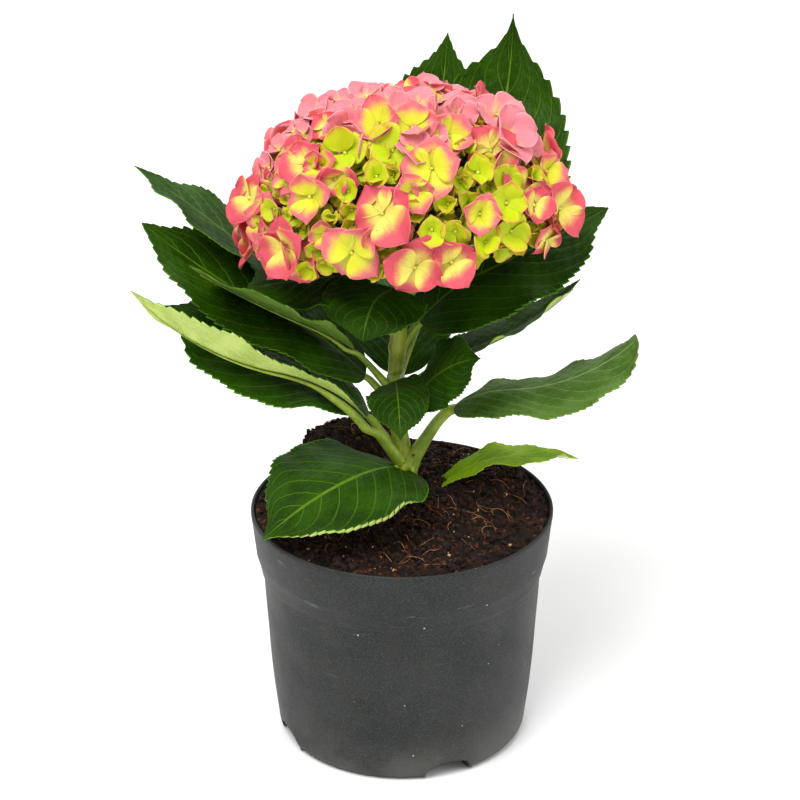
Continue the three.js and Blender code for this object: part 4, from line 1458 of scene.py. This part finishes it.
@dataclass
class Florets:
    """Florets of one stage as arrays: place, facing, turn, radius and opening in degrees."""

    centre: np.ndarray
    facing: np.ndarray
    turn: np.ndarray
    radius: np.ndarray
    opening: np.ndarray

    def some(self, chosen: np.ndarray) -> Florets:
        """The florets that a mask chooses."""
        parts = (self.centre, self.facing, self.turn, self.radius, self.opening)
        return Florets(*(part[chosen] for part in parts))

    def sepals(self, rng: np.random.Generator, rows: int, columns: int) -> Skin:
        """Four overlapping broad sepals for each floret.

        A sepal's half width is 0.59 length (sin(pi t^0.78))^b at the share t of its length, with b
        from 0.5 for a round one to 0.95 for a pointed one. Its slope falls from the floret's opening
        with t squared, it is cupped with the square of the share across, and it waves a little.

        Args:
            rng: Source of the small differences.
            rows: Points along a sepal.
            columns: Points across it.

        Returns:
            All the sepals as one skin.
        """
        count = len(self.centre)
        facing = unit(self.facing)
        guide = np.where(np.abs(facing[:, 2:]) > 0.9, [1.0, 0.0, 0.0], [0.0, 0.0, 1.0])
        across = unit(np.cross(guide, facing))
        up = np.cross(facing, across)
        quarter = np.arange(4)[None] * math.pi / 2
        angle = (self.turn[:, None] + quarter + rng.normal(0, 0.14, (count, 4))).reshape(-1, 1, 1)
        length = (self.radius[:, None] * rng.uniform(0.82, 1.16, (count, 4))).reshape(-1, 1, 1)
        raised = np.tile([0.0, SEPAL_STEP], (count, 2)).reshape(-1, 1, 1)
        opening = (self.opening[:, None] + rng.normal(0, 14, (count, 4))).reshape(-1, 1, 1)
        droop = rng.uniform(-12, 44, (4 * count, 1, 1))
        cup = rng.uniform(0.05, 0.5, (4 * count, 1, 1))
        swing = rng.uniform(0, 2 * math.pi, (4 * count, 1, 1))
        lean = rng.normal(0, 0.26, (4 * count, 1, 1))
        t = np.linspace(0, 1, rows)[None, :, None]
        v = np.linspace(-1, 1, columns)[None, None, :]
        slope = np.radians(opening - droop * t * t)
        stride = length / (rows - 1)
        ahead = (np.cumsum(np.cos(slope), axis=1) - np.cos(slope[:, :1])) * stride
        rise = (np.cumsum(np.sin(slope), axis=1) - np.sin(slope[:, :1])) * stride
        blunt = rng.uniform(0.5, 0.95, (4 * count, 1, 1))
        half = 0.59 * length * np.maximum(0.02, np.sin(math.pi * t**0.78)) ** blunt
        lateral = v * half
        ripple = 0.05 * length * np.sin(2.6 * v + 4 * t + swing) * t
        lift = rise + raised + cup * half * v * v + lean * lateral * t + ripple
        forward = SEPAL_START + ahead - 0.05 * length * v * v * t
        x = forward * np.cos(angle) - lateral * np.sin(angle)
        y = forward * np.sin(angle) + lateral * np.cos(angle)
        axes = [np.repeat(axis, 4, axis=0)[:, None, None, :] for axis in (across, up, facing, self.centre)]
        points = x[..., None] * axes[0] + y[..., None] * axes[1] + lift[..., None] * axes[2] + axes[3]
        half = SEPAL_HALF_THICKNESS * unit(np.cross(np.gradient(points, axis=1), np.gradient(points, axis=2)))
        return shells(points + half, points - half, (0, 0), (0.02, 0.48, 0.52, 0.98))


@dataclass(frozen=True)
class ShowFloret:
    """A floret in a place of its own: direction from the head's centre, size, stage and opening."""

    azimuth: float
    polar: float
    radius: float
    bloom: Bloom
    opening: float


SHOW_FLORETS = (
    ShowFloret(-168, 76, 11.2, Bloom.CORAL, 12),
    ShowFloret(-137, 88, 12.9, Bloom.CORAL, 14),
    ShowFloret(-130, 63, 11.5, Bloom.TURNING, 18),
    ShowFloret(-99, 66, 13.6, Bloom.CORAL, 20),
    ShowFloret(-109, 84, 12.3, Bloom.TURNING, 6),
    ShowFloret(-122, 79, 6.4, Bloom.TURNING, 40),
    ShowFloret(-150, 74, 6.5, Bloom.FRESH, 40),
    ShowFloret(-116, 57, 5.9, Bloom.FRESH, 50),
    ShowFloret(-112, 65, 5.0, Bloom.FRESH, 55),
    ShowFloret(-149, 54, 10.2, Bloom.TURNING, 25),
    ShowFloret(-171, 61, 8.4, Bloom.PALE, 20),
    ShowFloret(174, 71, 7.1, Bloom.PALE, 20),
    ShowFloret(-156, 46, 7.4, Bloom.CORAL, 20),
    ShowFloret(-135, 49, 7.8, Bloom.TURNING, 35),
    ShowFloret(-126, 40, 10.1, Bloom.FRESH, 30),
    ShowFloret(-116, 23, 10.6, Bloom.TURNING, 30),
    ShowFloret(-98, 36, 10.5, Bloom.FRESH, 22),
    ShowFloret(-104, 49, 6.8, Bloom.FRESH, 50),
    ShowFloret(-155, 22, 8.8, Bloom.PALE, 14),
    ShowFloret(140, 19, 8.0, Bloom.PALE, 14),
    ShowFloret(143, 32, 7.6, Bloom.PALE, 20),
    ShowFloret(152, 39, 8.0, Bloom.PALE, 16),
    ShowFloret(-159, 32, 7.0, Bloom.CORAL, 18),
    ShowFloret(-172, 41, 7.0, Bloom.PALE, 18),
    ShowFloret(-175, 53, 6.6, Bloom.PALE, 18),
    ShowFloret(124, 12, 7.0, Bloom.TURNING, 20),
    ShowFloret(-85, 24, 9.7, Bloom.TURNING, 30),
    ShowFloret(-78, 46, 12.8, Bloom.TURNING, 14),
    ShowFloret(-87, 56, 9.1, Bloom.TURNING, 28),
    ShowFloret(-74, 89, 12.3, Bloom.CORAL, 12),
    ShowFloret(-87, 90, 12.8, Bloom.CORAL, 14),
    ShowFloret(-59, 30, 9.2, Bloom.TURNING, 28),
    ShowFloret(-39, 42, 12.0, Bloom.CORAL, 10),
    ShowFloret(8, 34, 12.5, Bloom.PALE, 34),
    ShowFloret(-22, 40, 13.5, Bloom.PALE, 46),
    ShowFloret(52, 26, 9.0, Bloom.CORAL, 12),
    ShowFloret(-11, 19, 7.0, Bloom.PALE, 18),
    ShowFloret(-56, 50, 7.3, Bloom.FRESH, 40),
    ShowFloret(-42, 57, 8.3, Bloom.FRESH, 34),
    ShowFloret(-49, 66, 9.2, Bloom.FRESH, 30),
    ShowFloret(-62, 68, 8.2, Bloom.TURNING, 34),
    ShowFloret(-73, 62, 6.8, Bloom.FRESH, 50),
    ShowFloret(-72, 74, 8.2, Bloom.FRESH, 36),
    ShowFloret(-81, 73, 6.8, Bloom.FRESH, 42),
    ShowFloret(-61, 81, 7.8, Bloom.FRESH, 40),
    ShowFloret(-49, 79, 9.2, Bloom.FRESH, 28),
    ShowFloret(-18, 79, 12.6, Bloom.CORAL, 14),
    ShowFloret(-13, 62, 9.3, Bloom.TURNING, 24),
    ShowFloret(-9, 49, 7.0, Bloom.PALE, 16),
    ShowFloret(-35, 71, 7.9, Bloom.CORAL, 24),
    ShowFloret(-32, 6, 7.9, Bloom.PALE, 20),
    ShowFloret(94, 21, 7.6, Bloom.CORAL, 16),
    ShowFloret(69, 22, 8.0, Bloom.PALE, 14),
    ShowFloret(-101, 77, 6.4, Bloom.TURNING, 40),
    ShowFloret(-91, 74, 5.5, Bloom.TURNING, 44),
    ShowFloret(-96, 47, 5.5, Bloom.FRESH, 50),
    ShowFloret(-119, 69, 4.6, Bloom.FRESH, 55),
    ShowFloret(-65, 52, 5.5, Bloom.FRESH, 50),
    ShowFloret(-26, 60, 5.6, Bloom.FRESH, 45),
)


@dataclass
class FlowerHead:
    """A flattened dome of florets on thin stalks that branch from the top of the stem."""

    centre: tuple[float, float, float] = (2.0, -10.0, 281.0)
    radii: tuple[float, float, float] = (77.5, 63.0, 60.0)
    share: float = 0.965  # of the radii, where the outer florets sit
    count: int = 250
    radius: float = 11.2
    growth: float = 1.2  # of the florets with places of their own
    lean: tuple[float, float, float] = (0.0, -0.38, 0.12)  # of those, towards the front
    inner_count: int = 210
    bud_count: int = 420
    rays: int = 22
    ray_radius: float = 1.25
    stalk_radius: float = 0.62
    bead_radius: float = 0.95
    core_share: float = 0.66  # of the radii
    fresh_side: tuple[float, float, float] = (0.15, -0.9, 0.3)  # where the youngest florets face
    foot: tuple[float, float, float] = (2.4, 1.2, 249.0)
    shown: tuple[ShowFloret, ...] = SHOW_FLORETS

    def outward(self, azimuth: np.ndarray, polar: np.ndarray) -> np.ndarray:
        """Directions from the head's centre."""
        flat = np.sin(polar)
        return np.stack([flat * np.cos(azimuth), flat * np.sin(azimuth), np.cos(polar)], axis=-1)

    def spiral(self, count: int, lowest: float) -> tuple[np.ndarray, np.ndarray]:
        """Directions on an even spiral from the top, whose lower edge is higher on the right.

        Args:
            count: How many directions.
            lowest: Angle from the top of the lowest, in degrees.

        Returns:
            Azimuths and angles from the top, in radians.
        """
        number = np.arange(count) + 0.5
        azimuth = number * GOLDEN_ANGLE
        lowest = np.radians(lowest - 6 * np.cos(azimuth))
        return azimuth, np.arccos(1 - number / count * (1 - np.cos(lowest)))

    def placed(self, way: np.ndarray, depth: np.ndarray) -> np.ndarray:
        """Points at shares of the dome's radii."""
        return np.array(self.centre) + way * np.array(self.radii) * depth[:, None]

    def large_ones(self, rng: np.random.Generator) -> tuple[Florets, np.ndarray, np.ndarray]:
        """The florets with places of their own, their directions and their stages.

        Args:
            rng: Source of the small differences.

        Returns:
            The florets, their directions and the numbers of their stages.
        """
        table = np.array([[f.azimuth, f.polar, f.radius, f.opening] for f in self.shown])
        stage = np.array([list(Bloom).index(f.bloom) for f in self.shown])
        way = self.outward(*np.radians(table[:, :2]).T)
        facing = self.outlook(way) + self.lean + rng.normal(0, 0.17, way.shape)
        depth = self.share + rng.uniform(-0.02, 0.02, len(way)) - 0.0035 * (10 - table[:, 2])
        turn = rng.uniform(0, math.pi / 2, len(way))
        radius = table[:, 2] * self.growth
        return Florets(self.placed(way, depth), facing, turn, radius, table[:, 3]), way, stage

    def outlook(self, way: np.ndarray) -> np.ndarray:
        """The dome's normals, leaning outwards, and near its top towards the front as well."""
        normal = unit(way / np.array(self.radii))
        return unit(normal + way * [0.5, 0.5, 0] - [0, 0.25, 0] * (way[:, 2:] > 0.7))

    def small_ones(self, rng: np.random.Generator, taken: np.ndarray) -> tuple[Florets, np.ndarray]:
        """Spiral florets in the room that is left, pinker towards the top and the back.

        Args:
            rng: Source of the small differences.
            taken: Directions that are taken.

        Returns:
            The florets and the numbers of their stages.
        """
        way = self.outward(*self.spiral(self.count, 95))
        near = np.degrees(np.arccos(np.clip(way @ taken.T, -1, 1))).min(axis=1)
        front = way @ unit(np.array(self.fresh_side))
        kept = near > np.where(front > 0.3, 5.5, 7.5)
        way, front = way[kept], front[kept]
        count = len(way)
        fresh = smooth_step(front, 0.3, 0.8)
        top = smooth_step(way[:, 2] + 0.4 * way[:, 1], 0.3, 0.9)
        draw = rng.random(count)
        stage = np.select([draw < 0.9 * fresh, draw < 0.9 * fresh + 0.75 * top, draw > 0.55], [0, 3, 2], 1)
        opening = np.where(stage == 0, 40, 19) + rng.normal(0, 9, count)
        radius = self.radius * rng.uniform(0.8, 1.25, count) * np.where(stage == 0, 0.62, 1.0)
        depth = self.share - rng.uniform(0, 0.09, count) - np.where(stage == 0, 0.05, 0.0)
        facing = self.outlook(way) + rng.normal(0, 0.26, way.shape)
        turn = rng.uniform(0, math.pi / 2, count)
        return Florets(self.placed(way, depth), facing, turn, radius, opening), stage

    def inner_ones(self, rng: np.random.Generator) -> tuple[Florets, np.ndarray]:
        """Half open florets one layer down, which close the gaps between the outer ones.

        Args:
            rng: Source of the small differences.

        Returns:
            The florets and the numbers of their stages.
        """
        way = self.outward(*self.spiral(self.inner_count, 94))
        count = len(way)
        fresh = way @ unit(np.array(self.fresh_side)) > rng.uniform(-0.2, 0.3, count)
        stage = np.where(fresh, 0, rng.choice([1, 2, 3], count))
        radius = 0.62 * self.radius * rng.uniform(0.8, 1.2, count)
        depth = rng.uniform(0.84, 0.9, count)
        facing = self.outlook(way) + rng.normal(0, 0.3, way.shape)
        opening = 44 + rng.normal(0, 9, count)
        turn = rng.uniform(0, math.pi / 2, count)
        return Florets(self.placed(way, depth), facing, turn, radius, opening), stage

    def dress(self) -> None:
        """Deals the florets out into stages, and adds beads, inner buds and stalks."""
        rng = np.random.default_rng(7)
        large, taken, large_stage = self.large_ones(rng)
        small, small_stage = self.small_ones(rng, taken)
        inner, inner_stage = self.inner_ones(rng)
        pieces = []
        for index, bloom in enumerate(Bloom):
            near, far = large.some(large_stage == index), small.some(small_stage == index)
            low = inner.some(inner_stage == index)
            sepals = Skin.joined([near.sepals(rng, 10, 9), far.sepals(rng, 7, 6), low.sepals(rng, 5, 5)])
            pieces.append(sepals.build(f"florets_{bloom.value}", [self.finish(bloom).make()]))
        centre = np.concatenate([large.centre, small.centre])
        facing = unit(np.concatenate([large.facing, small.facing]))
        bead = PlainPlantFinish("floret_bead", linear(206, 214, 96), linear(176, 188, 58), 0.5, 600.0)
        sizes = np.full((len(centre), 3), self.bead_radius) * rng.uniform(0.8, 1.15, (len(centre), 1))
        pieces.append(lumps(centre + facing * 0.8, sizes, 41, 0.05).build("floret_beads", [bead.make()]))
        bud = PlainPlantFinish("inner_bud", linear(158, 172, 52), linear(92, 108, 28), 0.6, 400.0)
        pieces.append(self.inner_buds(rng).build("inner_buds", [bud.make()]))
        # the dense green inside of the head, made darker than its buds and stalks as painted shade deep
        # between the florets
        in_shade = PlainPlantFinish("head_core", linear(92, 108, 28), linear(44, 58, 12), 0.8, 300.0)
        pieces.append(self.core().build("head_core", [in_shade.make()]))
        stalk = StalkFinish("floret_stalk", linear(190, 190, 104), linear(140, 154, 62), pores=0.0)
        pieces.append(self.stalks(centre - facing * 0.4).build("floret_stalks", [stalk.make()]))
        for piece in pieces:
            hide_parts("flower_head")

    def finish(self, bloom: Bloom) -> PetalFinish:
        """The finish of one stage of opening, told by its heart, blush, edge and vein colours.

        Args:
            bloom: The stage.

        Returns:
            Its finish.
        """
        heart, blush, edge, vein, turn = {
            Bloom.FRESH: ((184, 196, 14), (212, 158, 60), (218, 124, 98), (152, 172, 10), (0.66, 1.1)),
            Bloom.TURNING: ((208, 204, 44), (216, 98, 110), (232, 148, 146), (214, 140, 72), (0.34, 0.8)),
            Bloom.CORAL: ((222, 206, 92), (206, 76, 90), (226, 126, 128), (192, 56, 70), (0.22, 0.66)),
            Bloom.PALE: ((230, 180, 126), (226, 128, 137), (242, 186, 190), (216, 98, 110), (0.05, 0.42)),
        }[bloom]
        name = f"sepal_{bloom.value}"
        return PetalFinish(name, linear(*heart), linear(*blush), linear(*edge), turn, linear(*vein))

    def inner_buds(self, rng: np.random.Generator) -> Skin:
        """Closed buds between the stalks, on a smaller dome.

        Args:
            rng: Source of the places and sizes.

        Returns:
            The buds as one skin.
        """
        way = self.outward(*self.spiral(self.bud_count, 92))
        centre = self.placed(way, rng.uniform(0.62, 0.8, len(way)))
        sizes = rng.uniform(1.8, 3.4, (len(way), 1)) * rng.uniform(0.8, 1.2, (len(way), 3))
        return lumps(centre, sizes, 43, 0.12)

    def core(self) -> Skin:
        """The dense inside of the head: rings on a smaller dome, pushed in and out by crossing waves.

        Returns:
            The core as one skin.
        """
        polar = np.radians(np.linspace(1, 100, 40))[:, None]
        azimuth = np.linspace(0, 2 * math.pi, 72, endpoint=False)[None]
        rough = 0.045 * np.sin(7 * polar + 3 * np.sin(5 * azimuth)) * np.sin(6 * azimuth + 9 * polar)
        way = self.outward(azimuth, polar * np.ones_like(azimuth))
        rings = np.array(self.centre) + way * np.array(self.radii) * (self.core_share + rough)[..., None]
        return closed_rings(rings[None, ::-1], 0)

    def stalks(self, ends: np.ndarray) -> Skin:
        """Rays from the stem's top to an inner dome, and a thin stalk from each floret to a ray's end.

        Args:
            ends: (n, 3) places where the stalks meet their florets.

        Returns:
            Rays and stalks as one skin.
        """
        way = self.outward(*self.spiral(self.rays, 88))
        forks = self.placed(way, np.full(self.rays, 0.45)) - [0, 0, 6]
        share = np.linspace(0, 1, 7)[None, :, None]
        foot = np.array(self.foot)[None, None]
        bow = np.sin(math.pi * share) * np.array([0, 0, -4.0])
        main = foot * (1 - share) + forks[:, None] * share + bow
        nearest = np.argmin(((ends[:, None] - forks[None]) ** 2).sum(axis=-1), axis=1)
        start = forks[nearest][:, None]
        thin = start * (1 - share) + ends[:, None] * share + bow * 0.6
        thick = closed_rings(tube_rings(main, np.full((self.rays, 7), self.ray_radius), 6), 0)
        fine = closed_rings(tube_rings(thin, np.full((len(ends), 7), self.stalk_radius), 4), 0)
        return Skin.joined([thick, fine])


# Studio


@dataclass(frozen=True)
class Lamp:
    """A soft square lamp: where it stands, how wide it is in metres and its power in watts."""

    name: str
    place: tuple[float, float, float]
    size: float
    power: float

    def hang(self, aim: tuple[float, float, float]) -> None:
        """Puts the lamp up so that it faces a point.

        Args:
            aim: The point.
        """
        data = bpy.data.lights.new(self.name, "AREA")
        data.size, data.energy = self.size, self.power
        lamp = bpy.data.objects.new(self.name, data)
        away = unit(np.array(self.place) - np.array(aim))
        lamp.location = self.place
        lamp.rotation_euler = (math.acos(away[2]), 0.0, math.atan2(away[1], away[0]) + math.pi / 2)
        bpy.context.scene.collection.objects.link(lamp)


@dataclass
class Studio:
    """A plain pale floor, soft light and a camera that looks down on the plant from the front."""

    camera_place: tuple[float, float, float] = (-0.001, -1.4192, 0.8608)
    camera_pitch: float = 25.633
    lens: float = 144.96
    sensor: float = 36.0
    clip: tuple[float, float] = (0.05, 20.0)
    floor_size: float = 4.0
    sky: float = 0.55
    aim: tuple[float, float, float] = (0.0, 0.0, 0.2)
    lamps: tuple[Lamp, ...] = (
        Lamp("key", (-0.6, -1.0, 2.1), 1.3, 54.0),
        Lamp("fill", (1.5, -0.7, 1.2), 1.5, 13.0),
        Lamp("back", (0.3, 1.6, 1.7), 1.6, 20.0),
    )

    def floor(self) -> None:
        """A wide level floor."""
        size = self.floor_size
        corners = [(-size, -size, 0), (size, -size, 0), (size, size, 0), (-size, size, 0)]
        mesh = bpy.data.meshes.new("floor")
        mesh.from_pydata(corners, [], [(0, 1, 2, 3)])
        paint = Paint("floor_white")
        cloud = paint.noise(paint.place(), 3.0, 2.0)
        white = paint.blend(cloud, (0.90, 0.90, 0.90), (0.93, 0.93, 0.93))
        mesh.materials.append(paint.finish(white, 0.9, 0.1))
        made = bpy.data.objects.new("floor", mesh)
        bpy.context.scene.collection.objects.link(made)

    def view(self) -> None:
        """The camera, which looks along +Y and down by its pitch."""
        data = bpy.data.cameras.new("camera")
        data.lens, data.sensor_width = self.lens, self.sensor
        data.clip_start, data.clip_end = self.clip
        camera = bpy.data.objects.new("camera", data)
        camera.location = self.camera_place
        camera.rotation_euler = (math.radians(90 - self.camera_pitch), 0.0, 0.0)
        bpy.context.scene.collection.objects.link(camera)
        bpy.context.scene.camera = camera

    def set_up(self) -> None:
        """Places the floor, lamps, sky and camera."""
        self.floor()
        for lamp in self.lamps:
            lamp.hang(self.aim)
        world = bpy.data.worlds.new("studio")
        world.use_nodes = True
        sky = world.node_tree.nodes["Background"]
        sky.inputs["Color"].default_value = (1.0, 1.0, 1.0, 1.0)
        sky.inputs["Strength"].default_value = self.sky
        bpy.context.scene.world = world
        bpy.context.scene.view_settings.view_transform = "Standard"
        self.view()


def write_sizes() -> None:
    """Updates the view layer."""
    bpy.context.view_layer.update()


def main() -> None:
    """Builds the studio and every sub-assembly in order."""
    logging.basicConfig(level=logging.INFO, format="%(message)s")
    Studio().set_up()
    Pot().dress()
    Soil().dress()
    stem = Stem()
    stem.dress()
    Foliage().dress(stem)
    FlowerHead().dress()
    write_sizes()


if __name__ == "__main__":
    main()
